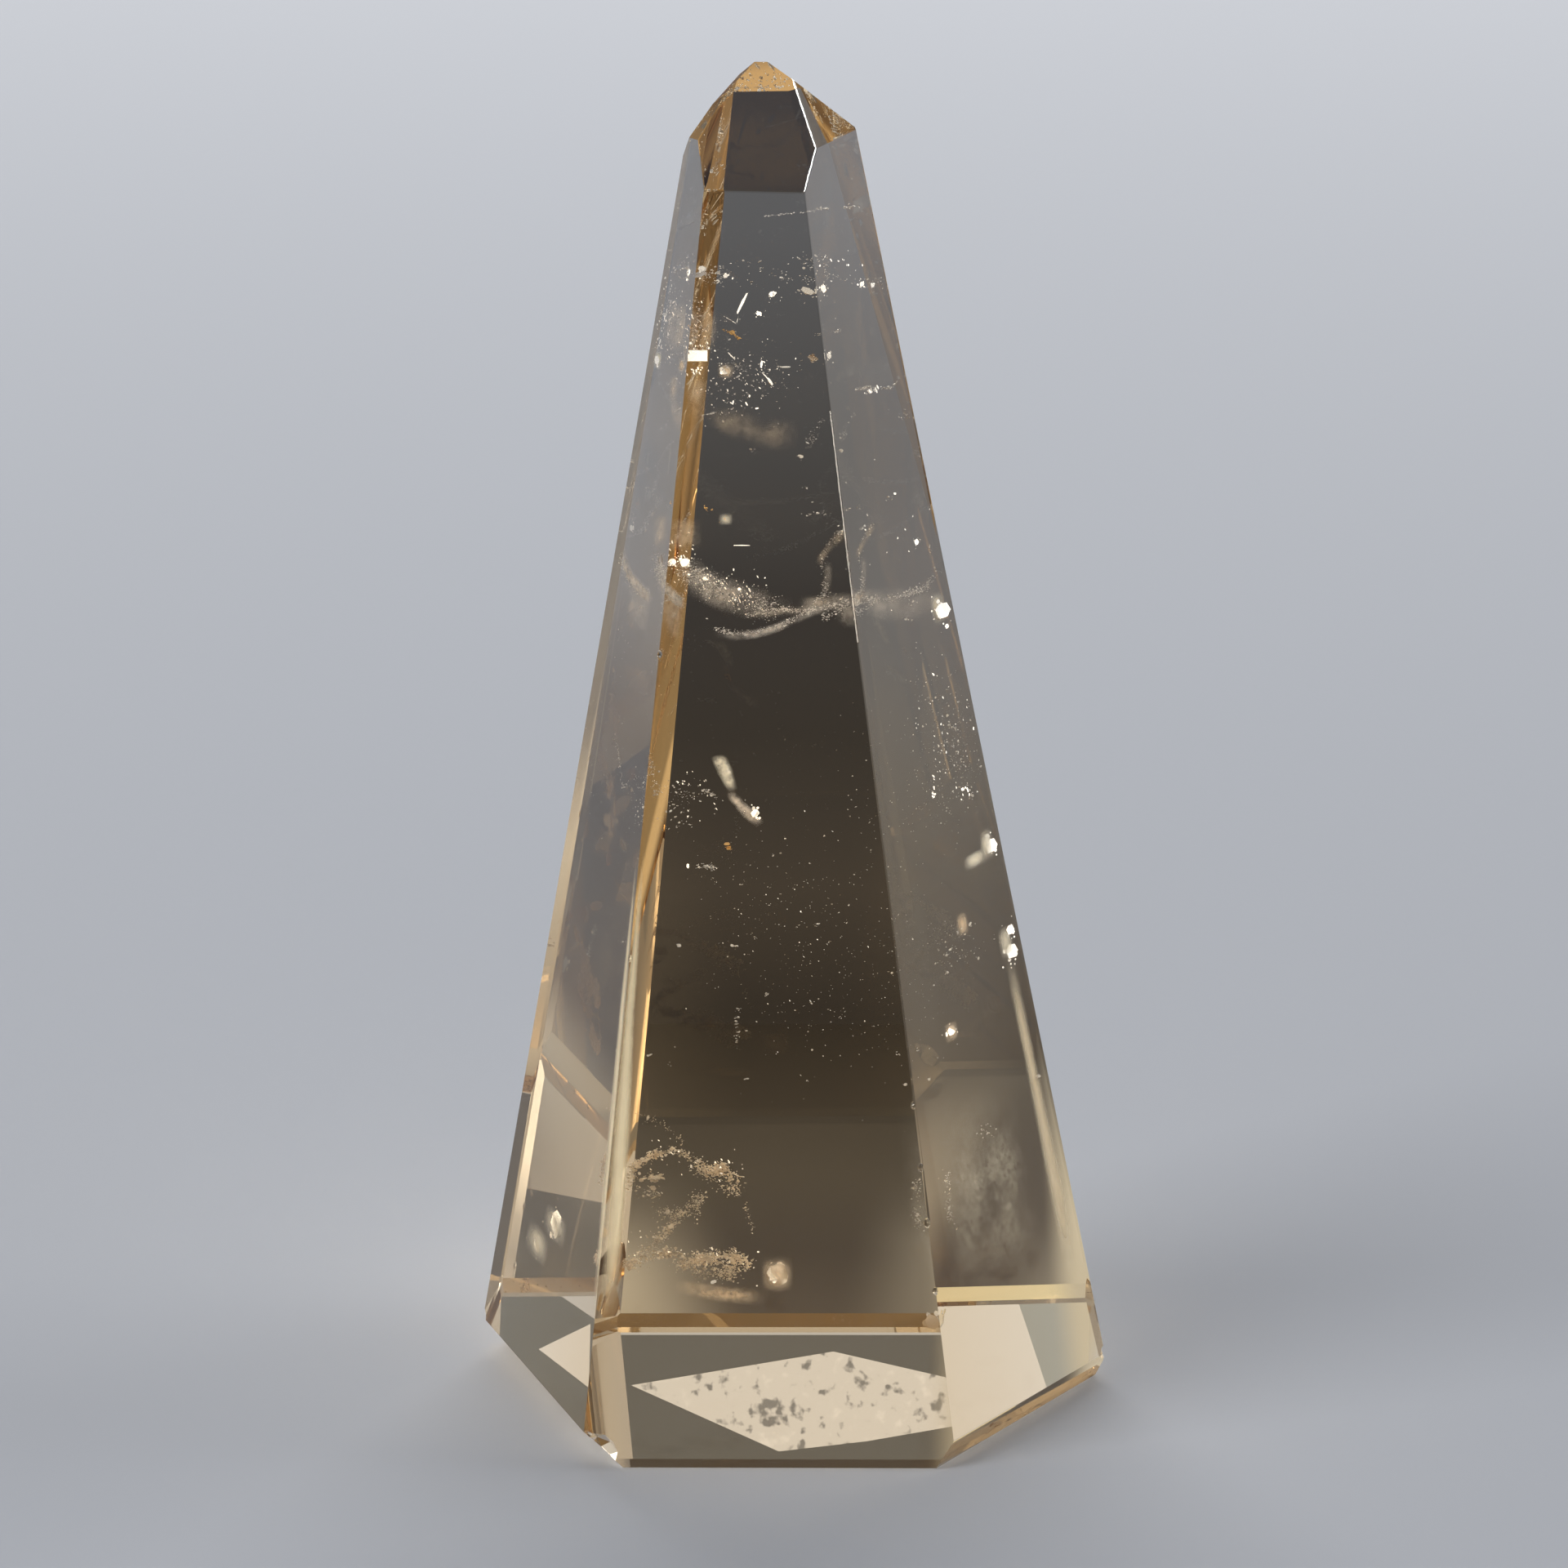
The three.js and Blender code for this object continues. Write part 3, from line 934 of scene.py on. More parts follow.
class CITRINE_OT_dust(bpy.types.Operator):
    """Fine specks through the lower half and along the right face"""

    bl_idname = "citrine.dust"
    bl_label = "Dust"

    def execute(self, context):
        settings = context.scene.citrine_inclusions
        front, right, left = Window(-90), Window(-36), Window(201)
        field = FleckField(settings.seed + 3)
        field.cloud(front.under(0.5, 25.5, 5), (2.6, 2.5, 2.6), 260, 0.55)
        field.cloud(front.under(2.5, 21.5, 4), (2.4, 2.0, 1.6), 160, 0.55)
        field.cloud(front.under(-1.5, 27, 5), (1.8, 2.0, 1.6), 90, 0.55)
        field.strand([front.under(-2.6, 21.5, 3), front.under(-2.6, 19.6, 3)], 0.08, 18, 0.9)
        # across, height, size
        singles = (
            (-5.3, 24.5, 2.2), (-2.7, 24.5, 1.3), (-1.8, 24.9, 1.2), (-1.2, 22.2, 1.8),
            (0.2, 25.4, 1.0), (1.1, 25.5, 1.0), (-2.1, 18.3, 1.9), (0.7, 18.3, 1.1),
            (-6.7, 19.4, 1.4), (0.8, 21.9, 1.2), (-0.9, 28.7, 1.2), (-2.4, 27.4, 1.2),
            (-5.7, 19.0, 1.1), (4.9, 19.5, 0.9), (-3.7, 8.8, 2.6),
        )
        for across, height, size in singles:
            field.cloud(front.under(across, height, 3), (0.06, 0.06, 0.04), 3, size)

        # short dashes and a flake beside the streaks
        field.strand([front.under(-4.1, 31.7, 3), front.under(-3.4, 31.3, 3)], 0.05, 50, 0.8)
        field.cloud(front.under(-5.2, 31.5, 3), (0.5, 0.5, 0.45), 90, 0.7)
        field.cloud(front.under(-5.4, 30.4, 3), (0.5, 0.4, 0.4), 35, 0.8)
        field.strand([front.under(-4.5, 28.2, 3), front.under(-3.5, 28.1, 3)], 0.06, 60, 0.9)

        # right face
        field.cloud(right.under(3.5, 33.5, 3), (1.5, 1.2, 2.2), 240, 0.6)
        field.cloud(right.under(4.9, 31.5, 3), (0.9, 0.7, 0.9), 170, 0.75)
        field.cloud(right.under(2.6, 30, 3), (1.6, 1.2, 0.7), 90, 0.6)
        field.strand([right.under(4.5, 33.1, 2), right.under(5.2, 32.6, 2)], 0.05, 50, 0.8)
        field.cloud(right.under(2.2, 23.3, 4), (1.1, 0.9, 0.7), 120, 0.65)
        curve = [(-1.3, 13.2, 4), (-1.6, 12.0, 4), (-1.6, 10.9, 4)]
        field.strand(right.places(curve), 0.1, 40, 0.7)
        field.cloud(right.under(2.2, 14.3, 4), (0.3, 0.3, 0.15), 20, 0.9)
        for across, height, size in (
            (2.3, 30.5, 2.0), (5.2, 29.5, 1.8), (3.3, 29.4, 1.4), (2.6, 23.7, 2.2),
            (3.7, 23.8, 1.8), (1.5, 23.0, 1.5), (1.3, 22.1, 1.6), (-1.5, 17.9, 1.3),
            (4.5, 33.5, 1.6), (6.9, 15.5, 1.8),
        ):
            field.cloud(right.under(across, height, 3), (0.07, 0.07, 0.05), 3, size)

        # left face
        wisp = [(-2.5, 32.8, 3), (-1.4, 31.8, 3), (-0.7, 30.9, 3), (0.1, 31.4, 3)]
        field.strand(left.places(wisp), 0.08, 50, 0.55)
        field.cloud(left.under(-3.0, 37.5, 3), (0.5, 0.5, 1.5), 40, 0.6)
        field.make("dust", fleck_material("dust_white", settings.veil_color, 0.4, 0.3))
        return {"FINISHED"}


class CITRINE_OT_iron_flecks(bpy.types.Operator):
    """Rusty orange flecks"""

    bl_idname = "citrine.iron_flecks"
    bl_label = "Iron flecks"

    def execute(self, context):
        settings = context.scene.citrine_inclusions
        front = Window(-90)
        field = FleckField(settings.seed + 4)
        field.cloud(front.under(-3.0, 29.0, 2.5), (0.06, 0.06, 0.06), 9, 1.6)
        field.strand([front.under(-3.2, 52.7, 3), front.under(-2.8, 52.5, 3)], 0.02, 50, 0.7)
        field.strand([front.under(-2.8, 52.5, 3), front.under(-2.5, 52.3, 3)], 0.03, 90, 1.2)
        field.cloud(front.under(-4.0, 44.6, 3), (0.14, 0.1, 0.05), 8, 0.7)
        field.cloud(front.under(-3.1, 44.1, 3), (0.12, 0.1, 0.1), 10, 0.8)
        material = fleck_material("iron_stain", settings.stain_color, 0.1, 0.5)
        field.make("iron_flecks", material)
        return {"FINISHED"}


class CITRINE_OT_glints(bpy.types.Operator):
    """Small mirror-like cracks that catch the room"""

    bl_idname = "citrine.glints"
    bl_label = "Glints"

    def execute(self, context):
        settings = context.scene.citrine_inclusions
        front, right, left = Window(-90), Window(-36), Window(201)
        field = FleckField(settings.seed + 5)
        # window, across, height, depth, width, stretch, slant
        cracks = (
            (left, -4.1, 50.3, 1.2, 0.62, 0.55, 8), (front, -3.1, 50.8, 4, 0.5, 1.05, 0),
            (right, 0.1, 51.4, 2, 0.35, 0.8, 0), (front, -1.0, 54.3, 3, 0.36, 1.0, 30),
            (front, -1.6, 53.4, 3, 0.26, 2.0, 5), (left, -1.9, 55.0, 1, 0.42, 0.6, 20),
            (front, -4.2, 55.4, 2, 0.34, 1.7, 8), (front, -3.1, 55.1, 3, 0.27, 1.5, 0),
            (front, -3.5, 54.85, 3, 0.24, 1.5, 0), (right, 0.5, 54.4, 2, 0.45, 1.3, 0),
            (right, 3.4, 54.0, 2, 0.3, 1.3, 0), (right, 4.2, 53.8, 2, 0.3, 1.2, 0),
            (left, -4.2, 42.3, 2, 0.42, 0.7, 0), (right, 4.3, 41.8, 2, 0.3, 0.8, 0),
            (right, 5.4, 38.3, 1.5, 1.0, 0.9, 0), (front, -5.6, 42.1, 2, 0.45, 1.3, -30),
            (front, -5.0, 42.1, 2.5, 0.5, 1.4, -35), (front, -4.1, 41.4, 3, 0.2, 1.0, 0),
            (front, -2.5, 40.9, 4, 0.2, 1.3, 0), (right, 0.8, 19.5, 4, 0.6, 1.1, 0),
            (right, 6.1, 26.9, 3, 0.9, 0.8, 0), (right, 6.4, 21.7, 3, 0.9, 0.9, 0),
            (right, 6.6, 22.7, 3, 0.6, 0.9, 0), (front, -3.1, 32.5, 6, 0.45, 1.8, -55),
            (front, -1.8, 30.7, 6, 0.5, 1.9, -55), (front, -0.8, 9.2, 5, 0.9, 0.8, 0),
            (left, -1.0, 9.2, 3, 1.2, 0.6, 0), (left, -2.9, 7.6, 3, 0.9, 1.0, 0),
            (front, 6.6, 6.9, 1, 0.9, 0.8, 0),
        )
        for window, across, height, depth, width, stretch, slant in cracks:
            place = sealed(window.under(across, height, depth), field.clearance + width * 0.5 * MM)
            self.crack(field, window, place, width, stretch, math.radians(slant))
        # window, across, height, depth, reach across and up, count, size
        sparkles = (
            (left, -3.4, 52.2, 0.9, 1.3, 0.9, 150, 0.05),
            (left, -4.2, 52.5, 0.9, 0.3, 0.2, 16, 0.08),
            (left, -3.7, 53.0, 0.8, 0.15, 0.6, 16, 0.07),
            (left, -4.2, 51.1, 0.9, 0.3, 0.15, 10, 0.08),
            (left, -1.0, 52.4, 0.8, 0.15, 0.7, 18, 0.07),
            (left, -4.6, 54.0, 0.8, 0.8, 0.5, 24, 0.05),
            (front, -4.3, 52.4, 2, 0.3, 0.8, 40, 0.05),
            (front, -4.4, 51.9, 2, 0.35, 0.08, 14, 0.07),
            (front, -4.4, 50.8, 2, 0.25, 0.1, 10, 0.07),
            (front, -4.0, 55.0, 2, 0.3, 0.2, 8, 0.06),
            (front, -2.0, 50.6, 4, 1.0, 0.7, 60, 0.04),
            (front, -2.8, 49.6, 4, 0.8, 0.7, 30, 0.04),
            (front, -5.2, 42.2, 2, 0.5, 0.4, 40, 0.06),
            (front, -4.0, 41.3, 3.5, 0.6, 0.4, 50, 0.05),
            (front, -2.6, 40.6, 4.5, 0.8, 0.4, 50, 0.04),
            (front, 2.4, 40.5, 3, 0.5, 0.15, 16, 0.05),
            (front, 2.4, 43.8, 3, 0.3, 0.15, 6, 0.07),
            (front, 1.0, 44.4, 3, 0.3, 0.06, 6, 0.05),
            (right, 2.9, 49.2, 1.5, 0.5, 0.05, 22, 0.07),
            (right, 2.3, 54.9, 2, 1.2, 0.4, 16, 0.06),
            (right, 0.9, 55.0, 1, 0.1, 0.6, 12, 0.05),
            (right, 3.0, 43.5, 3, 1.5, 2.0, 16, 0.06),
            (right, 4.3, 33.0, 3, 1.2, 1.6, 50, 0.05),
            (right, 5.1, 29.6, 3, 0.4, 0.3, 10, 0.08),
            (right, 2.5, 30.6, 3, 0.15, 0.25, 8, 0.1),
            (front, -4.6, 31.6, 3, 0.8, 0.6, 24, 0.05),
            (front, -4.0, 28.15, 3, 0.35, 0.05, 10, 0.06),
            (front, 0.5, 24.5, 4, 3.0, 3.0, 40, 0.04),
            (front, -3.6, 14.2, 4, 0.7, 0.3, 26, 0.06),
            (front, -6.2, 14.6, 3.5, 0.8, 0.4, 24, 0.06),
            (front, -3.6, 9.9, 4, 1.0, 0.2, 30, 0.06),
            (front, -6.4, 10.6, 3.5, 1.0, 0.7, 24, 0.06),
            (right, -1.4, 12.4, 4, 0.3, 1.0, 16, 0.05),
        )
        for window, across, height, depth, wide, tall, count, size in sparkles:
            for _ in range(round(count * field.density)):
                spot = across + field.draw.gauss(0, wide), height + field.draw.gauss(0, tall)
                place = window.under(*spot, depth)
                tilt = Vector([field.draw.gauss(0, 0.008) for _ in range(3)])
                normal = (mirror_normal(window, place) + tilt).normalized()
                field.add(place, size * field.draw.lognormvariate(0, 0.4), normal, 1.6)
        # straight thin ones: both ends across and up, width; all are seen through the front face
        for from_across, from_height, to_across, to_height, width in (
            (-2.6, 53.4, -2.1, 54.4, 0.14), (-2.75, 42.9, -1.95, 42.9, 0.05),
            (-1.5, 50.95, -1.45, 51.3, 0.12), (-0.55, 51.0, -0.1, 51.0, 0.09),
            (-1.4, 50.7, -1.15, 50.45, 0.05), (-1.2, 50.5, -0.95, 50.15, 0.15),
            (-3.0, 51.65, -2.65, 51.3, 0.04), (-1.75, 49.1, -1.6, 49.15, 0.1),
            (-2.8, 49.3, -2.75, 49.5, 0.08), (-2.6, 53.0, -2.5, 53.35, 0.03),
            (-3.2, 53.3, -2.6, 52.95, 0.03), (-1.4, 51.25, -1.3, 51.2, 0.07),
        ):
            start = front.under(from_across, from_height, 2)
            end = front.under(to_across, to_height, 2)
            field.dash(start, end, width, front.inward(start), mirror_normal(front, start))
        material = mirror_material("crack_mirror")
        field.make("glints", material)
        self.pane(front, -4.4, 51.5, 0.9, 0.52, material)
        return {"FINISHED"}

    def pane(self, window, across, height, width, tall, material):
        """A crack with straight sides, close under a window; its size is in millimetres."""
        place = window.under(across, height, 1.2)
        view, normal = window.inward(place), mirror_normal(window, place)
        level, up = (onto_plane(Vector(way), view, normal) for way in ((1, 0, 0), (0, 0, 1)))
        deselect_all()
        bpy.ops.mesh.primitive_cube_add(size=1)
        pane = bpy.context.active_object
        pane.name = "square_glint"
        for vertex in pane.data.vertices:
            aside, high, deep = vertex.co * MM
            vertex.co = place + level * aside * width + up * high * tall + normal * deep * 0.03
        bpy.ops.object.mode_set(mode="EDIT")
        bpy.ops.mesh.select_all(action="SELECT")
        bpy.ops.mesh.normals_make_consistent(inside=False)
        bpy.ops.object.mode_set(mode="OBJECT")
        finish_piece(pane, material)

    def crack(self, field, window, place, width, stretch, slant):
        """One crack: a few overlapping flakes that mirror the same way, and crumbs around them."""
        draw = field.draw
        view, normal = window.inward(place), mirror_normal(window, place)
        level, up = (onto_plane(Vector(way), view, normal) for way in ((1, 0, 0), (0, 0, 1)))
        along_it = level * math.cos(slant) + up * math.sin(slant)
        over_it = up * math.cos(slant) - level * math.sin(slant)
        steepest = (view - normal * view.dot(normal)).normalized()
        foreshortening = min(1 / abs(view.dot(normal)), 2.5)
        longer, shorter = math.sqrt(stretch), 1 / math.sqrt(stretch)
        flakes, chips, crumbs = (0.75, 0.06, 3), (0.3, 0.3, 5), (0.1, 0.55, 7)
        for size, spread, count in (flakes, chips, crumbs):
            for _ in range(count):
                offset = along_it * draw.gauss(0, spread * longer)
                offset += over_it * draw.gauss(0, spread * shorter)
                tilt = Vector([draw.gauss(0, 0.015) for _ in range(3)])
                field.add(
                    place + offset * width * MM,
                    width * size * draw.uniform(0.7, 1.2),
                    (normal + tilt).normalized(),
                    foreshortening,
                    turn_along(normal, steepest),
                )


# Stage


def add_area_light(name, size, place, aim, power, color):
    """A soft lamp that only the stone's surface reflects, and that isn't seen through it."""
    data = bpy.data.lights.new(name, "AREA")
    data.shape = "RECTANGLE"
    data.size, data.size_y = size
    data.energy = power
    data.color = color
    light = bpy.data.objects.new(name, data)
    bpy.context.scene.collection.objects.link(light)
    light.location = place
    light.rotation_euler = (Vector(aim) - Vector(place)).to_track_quat("-Z", "Y").to_euler()
    light.visible_transmission = False
    return light


def seen_only_through_the_stone(obj, material):
    set_only_material(obj, material)
    material.cycles.emission_sampling = "NONE"
    obj.visible_camera = False
    obj.visible_diffuse = False
    obj.visible_glossy = False
    obj.visible_shadow = False
    obj.visible_volume_scatter = False


class CITRINE_OT_stage(bpy.types.Operator):
    """Floor, soft lights, the room as the stone passes it on, and the camera"""

    bl_idname = "citrine.stage"
    bl_label = "Stage"

    def execute(self, context):
        settings = context.scene.citrine_stage
        self.floor(settings)
        self.table_through_stone()
        self.room_through_stone()
        self.cards_through_stone()
        self.rim_card_through_stone()
        self.lights()
        self.camera(context, settings)
        cycles = context.scene.cycles
        cycles.max_bounces = 32
        cycles.glossy_bounces = 24
        cycles.transmission_bounces = 32
        cycles.transparent_max_bounces = 32
        context.scene.view_settings.view_transform = "Standard"
        return {"FINISHED"}

    def floor(self, settings):
        deselect_all()
        bpy.ops.mesh.primitive_plane_add(size=6, location=(0, 0, -0.05 * MM))
        floor = bpy.context.active_object
        floor.name = "floor"
        material, _, _, shader = new_material("studio_floor")
        shader.inputs["Base Color"].default_value = (*settings.floor_color, 1)
        shader.inputs["Roughness"].default_value = 0.9
        shader.inputs["Specular IOR Level"].default_value = 0.0
        set_only_material(floor, material)
        floor.visible_transmission = False

    def table_through_stone(self):
        """A glowing disc seen only through the stone, with a dark table's light and shade painted
        on it: lit right under the stone and paler to its left and right.
        """
        deselect_all()
        bpy.ops.mesh.primitive_circle_add(
            vertices=96, radius=2, fill_type="NGON", location=(0, 0, -0.4 * MM)
        )
        table = bpy.context.active_object
        table.name = "table_through_stone"
        material, nodes, links, light = glow_material("table_glow")
        where = nodes.new("ShaderNodeTexCoord")
        length = nodes.new("ShaderNodeVectorMath")
        length.operation = "LENGTH"
        links.new(where.outputs["Object"], length.inputs[0])
        away = length.outputs["Value"]

        # the ramps run from the middle outwards and end 0.2 m away
        reach = math_node(nodes, links, "DIVIDE", away, 0.2)
        lit_spot = [(0.0, (0.5, 0.44, 0.31)), (0.045, (0.46, 0.41, 0.31))]
        behind = ramp_node(nodes, links, reach, lit_spot + [
            (0.049, (0.1, 0.078, 0.055)), (0.085, (0.055, 0.042, 0.028)),
            (0.115, (0.068, 0.055, 0.036)), (0.185, (0.03, 0.024, 0.016)),
            (0.245, (0.058, 0.047, 0.034)), (0.325, (0.035, 0.03, 0.024)),
            (0.4, (0.037, 0.034, 0.032)), (0.45, (0.055, 0.053, 0.052)),
            (0.525, (0.076, 0.076, 0.078)), (0.65, (0.108, 0.112, 0.122)),
            (1.0, (0.15, 0.16, 0.18)),
        ])
        left = ramp_node(nodes, links, reach, lit_spot + [
            (0.05, (0.36, 0.31, 0.23)), (0.085, (0.6, 0.53, 0.41)), (0.12, (0.15, 0.13, 0.1)),
            (0.15, (0.13, 0.118, 0.1)), (0.21, (0.132, 0.122, 0.104)), (0.3, (0.145, 0.142, 0.14)),
            (0.37, (0.172, 0.171, 0.175)), (0.425, (0.175, 0.176, 0.182)),
            (0.57, (0.222, 0.228, 0.245)), (1.0, (0.22, 0.23, 0.26)),
        ])
        right = ramp_node(nodes, links, reach, lit_spot + [
            (0.055, (0.19, 0.165, 0.125)), (0.095, (0.42, 0.39, 0.33)),
            (0.12, (0.11, 0.104, 0.095)), (0.2, (0.094, 0.092, 0.093)),
            (0.25, (0.105, 0.107, 0.115)), (0.31, (0.22, 0.232, 0.255)),
            (0.4, (0.22, 0.235, 0.262)), (0.48, (0.17, 0.185, 0.21)), (1.0, (0.2, 0.22, 0.25)),
        ])
        axes = object_axes(nodes, links)
        is_right = math_node(nodes, links, "GREATER_THAN", axes["X"], 0)
        beside = mix_colors(nodes, links, is_right, left, right)
        distance_aside = math_node(nodes, links, "ABSOLUTE", axes["X"])
        share_aside = math_node(nodes, links, "DIVIDE", distance_aside, away)
        sideways = eased(nodes, links, share_aside, 0.15, 0.6)
        links.new(mix_colors(nodes, links, sideways, behind, beside), light.inputs["Color"])
        # painted light: the disc glows 2.2 times as bright in front of the stone
        in_front = eased(nodes, links, axes["Y"], -5 * MM, -6.5 * MM)
        strength = math_node(nodes, links, "MULTIPLY_ADD", in_front, 1.2, 1.0)
        links.new(strength, light.inputs["Strength"])
        seen_only_through_the_stone(table, material)

    def room_through_stone(self):
        """A dome whose brightness depends on the height alone, with a narrow ring of lamps."""
        deselect_all()
        radius = 1.5
        bpy.ops.mesh.primitive_uv_sphere_add(segments=64, ring_count=32, radius=radius)
        room = bpy.context.active_object
        room.name = "room_through_stone"
        material, nodes, links, light = glow_material("room_glow")
        height = math_node(nodes, links, "DIVIDE", object_axes(nodes, links)["Z"], radius)
        stops = [
            (0.0, (0.25, 0.26, 0.3)), (0.1, (0.6, 0.6, 0.62)), (0.35, (0.75, 0.74, 0.72)),
            (0.45, (0.6, 0.6, 0.6)), (0.54, (1.0, 0.98, 0.95)), (0.55, (4.0, 3.95, 3.8)),
            (0.57, (4.0, 3.95, 3.8)), (0.58, (0.8, 0.78, 0.76)), (0.68, (0.65, 0.64, 0.62)),
            (0.8, (0.3, 0.31, 0.34)), (0.95, (0.7, 0.7, 0.7)),
        ]
        strength = 5.0
        light.inputs["Strength"].default_value = strength
        dimmed = [(position, shade(color, 1 / strength)) for position, color in stops]
        links.new(ramp_node(nodes, links, height, dimmed), light.inputs["Color"])
        seen_only_through_the_stone(room, material)

    def cards_through_stone(self):
        """Glowing and dark cards, seen only through the stone: painted highlights and painted shade
        that the polished base and its bevels mirror towards the front.
        """
        near, far = 85, 1200
        behind, right, left = (0, 10.5, 4.3), (4, 10.6, 3), (0, 10.6, 3)
        front, middle = (8, -6, 10), (5, 0, 20)
        # name, start, azimuth, elevation, distance, glow, corners to the left and up
        cards = (
            ("dark_card_back", behind, 90, 27.1, near + 3, (0.15, 0.145, 0.13),
             [(-16, -4), (15, -4), (15, 6), (-16, 6)]),
            ("bright_card_back", behind, 90, 27.1, near, (0.84, 0.81, 0.77),
             [(-9.2, -1), (3, -3), (11, -1.2), (11.5, 1.2), (5, 2.3), (-0.3, 2.9)]),
            ("bright_card_right", right, 129, 29.3, near, (0.86, 0.82, 0.76),
             [(-6, -6), (1, -3.2), (1.5, -0.2), (2.1, 3.6), (-6, 4)]),
            ("grey_card_right", right, 129, 29.3, near + 1, (0.42, 0.43, 0.4),
             [(0, -4), (8, -2), (8, 5), (0, 5)]),
            ("dark_card_left", left, 29.4, 27.8, near + 3, (0.13, 0.125, 0.1),
             [(-7, -1.5), (4, -3.2), (4, 6), (-7, 6)]),
            ("bright_card_left", left, 29.4, 27.8, near, (0.9, 0.86, 0.8),
             [(-1.5, 1.6), (1.7, -2.4), (2.8, 1.1)]),
            ("brown_card_low", behind, 90, 6.5, far, (0.21, 0.13, 0.05),
             [(-300, -100), (300, -100), (300, 110), (-300, 110)]),
            ("dark_card_low", behind, 90, 19, far, (0.08, 0.06, 0.04),
             [(-300, -150), (300, -150), (300, 130), (-300, 130)]),
            ("golden_card_low", behind, 123, 7, far, (0.92, 0.8, 0.5),
             [(-250, -90), (250, -90), (250, 90), (-250, 90)]),
            ("dark_card_right", middle, -57, 33, far, (0.12, 0.11, 0.1),
             [(-170, -80), (150, -80), (150, 90), (-170, 90)]),
            ("cream_card_right", middle, -40, 37.5, far, (0.6, 0.55, 0.46),
             [(-130, -70), (120, -70), (120, 70), (-130, 70)]),
            ("dark_card_front", front, -70, 38, near, (0.15, 0.14, 0.11),
             [(-8, -5), (8, -5), (8, 5), (-8, 5)]),
        )
        for name, start, azimuth, elevation, away, glow, corners in cards:
            out = toward(azimuth, elevation)
            light, nodes, links = self.card(name, start, out, away, glow, corners)
            if name == "bright_card_back":
                self.speckle(nodes, links, light, glow)

    def rim_card_through_stone(self):
        """A painted glow behind the right edge, which starts gently: a glowing card seen only
        through the stone.
        """
        rim = [(10.4, -0.5), (10.0, 8), (8.8, 17), (7.2, 17), (6.3, 6), (6.2, -0.5)]
        golden = (0.66, 0.59, 0.44)
        straight_back = toward(90, 0)
        light, nodes, links = self.card(
            "glow_card_rim", (0, 0, 0), straight_back, 10.75, golden, rim
        )
        mix, clear = nodes.new("ShaderNodeMixShader"), nodes.new("ShaderNodeBsdfTransparent")
        beside = object_axes(nodes, links)["X"]
        links.new(eased(nodes, links, beside, 6.5 * MM, 9.2 * MM), mix.inputs["Fac"])
        links.new(clear.outputs["BSDF"], mix.inputs[1])
        links.new(light.outputs["Emission"], mix.inputs[2])
        links.new(mix.outputs["Shader"], nodes["Material Output"].inputs["Surface"])

    def speckle(self, nodes, links, light, glow):
        """Dark specks on a card, as the worn base has them."""
        specks = object_noise(nodes, links, 1100, 3)
        stops = [(0.33, shade(glow, 0.35)), (0.42, glow), (0.6, glow), (0.72, shade(glow, 1.15))]
        links.new(ramp_node(nodes, links, specks, stops), light.inputs["Color"])

    def card(self, name, start, out, away, glow, corners):
        """One flat card square to a direction; all its lengths are in millimetres."""
        side = Vector((out.y, -out.x, 0)).normalized()
        up = side.cross(out)
        deselect_all()
        bpy.ops.mesh.primitive_circle_add(vertices=len(corners), radius=10 * MM, fill_type="NGON")
        card = bpy.context.active_object
        card.name = name
        for vertex, (aside, high) in zip(card.data.vertices, corners):
            vertex.co = (Vector(start) + out * away + side * aside + up * high) * MM
        material, nodes, links, light = glow_material(name + "_glow")
        light.inputs["Color"].default_value = (*glow, 1)
        seen_only_through_the_stone(card, material)
        return light, nodes, links

    def lights(self):
        world = bpy.data.worlds.new("studio")
        world.use_nodes = True
        background = world.node_tree.nodes["Background"]
        background.inputs["Color"].default_value = (0.62, 0.68, 0.8, 1)
        background.inputs["Strength"].default_value = 0.22
        bpy.context.scene.world = world
        low, high = (0, 0, 0.02), (0, 0, 0.03)
        add_area_light("back_softbox", (0.7, 0.25), (0, 0.55, 0.33), low, 2.4, (1, 0.98, 0.95))
        add_area_light("key_softbox", (0.3, 0.3), (-0.45, -0.2, 0.55), high, 1.4, WHITE)
        add_area_light("fill_softbox", (0.3, 0.4), (0.6, 0.1, 0.4), high, 0.7, WHITE)

        # these show in the stone's edges and leave the floor as it is
        tip, middle = Vector((-1.2, 4, 64)) * MM, Vector((0, 0, 25)) * MM
        cool, warm = (0.3, 0.5, 1), (1, 0.93, 0.8)
        # name, size, place, aim, power, colour
        edge_lights = (
            ("ridge_softbox", (0.1, 0.2), tip + toward(-44, 55) * 0.5, tip, 3.0, WHITE),
            ("tip_softbox", (0.5, 0.3), tip + toward(-89, 57) * 0.8, tip, 0.13, cool),
            ("edge_softbox_right", (0.22, 0.12), middle + toward(-56, 3) * 0.6, middle, 0.9, warm),
            ("edge_softbox_left", (0.22, 0.12), middle + toward(-126, 3) * 0.6, middle, 0.9, warm),
        )
        for edge_light in edge_lights:
            light = add_area_light(*edge_light)
            light.visible_diffuse = False

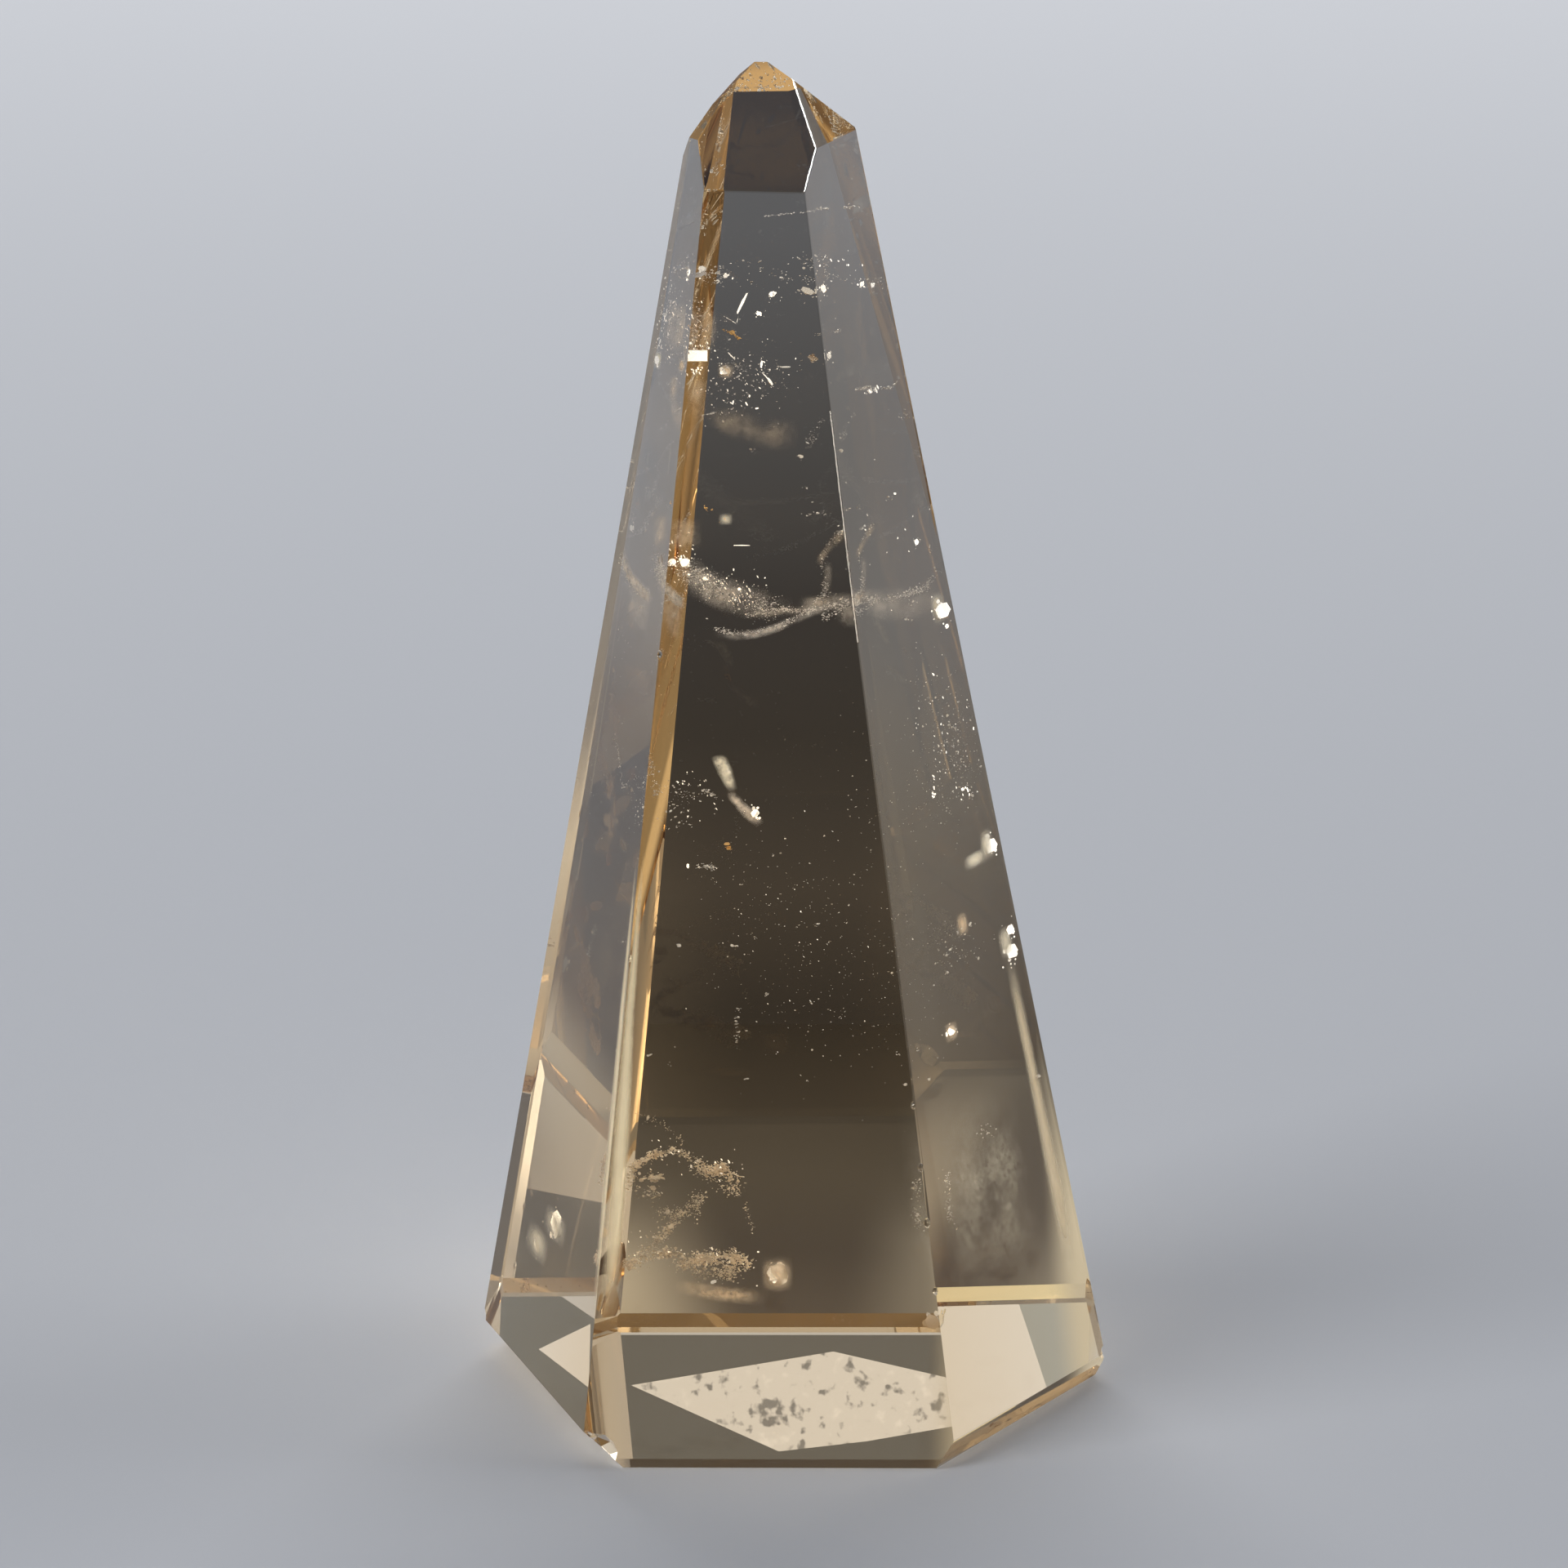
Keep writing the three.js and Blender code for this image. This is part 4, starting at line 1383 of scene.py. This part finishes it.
    def camera(self, context, settings):
        camera_data = bpy.data.cameras.new("camera")
        camera_data.lens = settings.camera_lens
        camera_data.sensor_width = 36
        camera_data.clip_start = 0.001
        camera = bpy.data.objects.new("camera", camera_data)
        context.scene.collection.objects.link(camera)
        camera.location = camera_place()
        camera.rotation_euler = (-camera_back()).to_track_quat("-Z", "Y").to_euler()
        context.scene.camera = camera


# Panel and registration


class CITRINE_PT_panel(bpy.types.Panel):
    """Lists the steps of the model in the sidebar"""

    bl_idname = "CITRINE_PT_panel"
    bl_label = "Citrine crystal point"
    bl_space_type = "VIEW_3D"
    bl_region_type = "UI"
    bl_category = "Citrine"

    def draw(self, context):
        for operator in OPERATORS:
            self.layout.operator(operator.bl_idname)
        for settings in SETTINGS:
            group = getattr(context.scene, settings)
            for name in group.bl_rna.properties.keys():
                if name not in {"rna_type", "name"}:
                    self.layout.prop(group, name)


OPERATORS = (
    CITRINE_OT_stage,
    CITRINE_OT_stone,
    CITRINE_OT_films,
    CITRINE_OT_main_veil,
    CITRINE_OT_upper_flecks,
    CITRINE_OT_lower_veils,
    CITRINE_OT_dust,
    CITRINE_OT_iron_flecks,
    CITRINE_OT_glints,
)
SETTINGS = {
    "citrine_stone": CitrineStoneSettings,
    "citrine_inclusions": CitrineInclusionSettings,
    "citrine_stage": CitrineStageSettings,
}


def register():
    for settings in SETTINGS.values():
        bpy.utils.register_class(settings)
    for operator in OPERATORS:
        bpy.utils.register_class(operator)
    bpy.utils.register_class(CITRINE_PT_panel)
    for name, settings in SETTINGS.items():
        setattr(bpy.types.Scene, name, PointerProperty(type=settings))


def unregister():
    for name in SETTINGS:
        delattr(bpy.types.Scene, name)
    bpy.utils.unregister_class(CITRINE_PT_panel)
    for operator in reversed(OPERATORS):
        bpy.utils.unregister_class(operator)
    for settings in reversed(SETTINGS.values()):
        bpy.utils.unregister_class(settings)


def main():
    register()
    bpy.ops.citrine.stage()
    bpy.ops.citrine.stone()
    bpy.ops.citrine.films()
    bpy.ops.citrine.main_veil()
    bpy.ops.citrine.upper_flecks()
    bpy.ops.citrine.lower_veils()
    bpy.ops.citrine.dust()
    bpy.ops.citrine.iron_flecks()
    bpy.ops.citrine.glints()


if __name__ == "__main__":
    main()
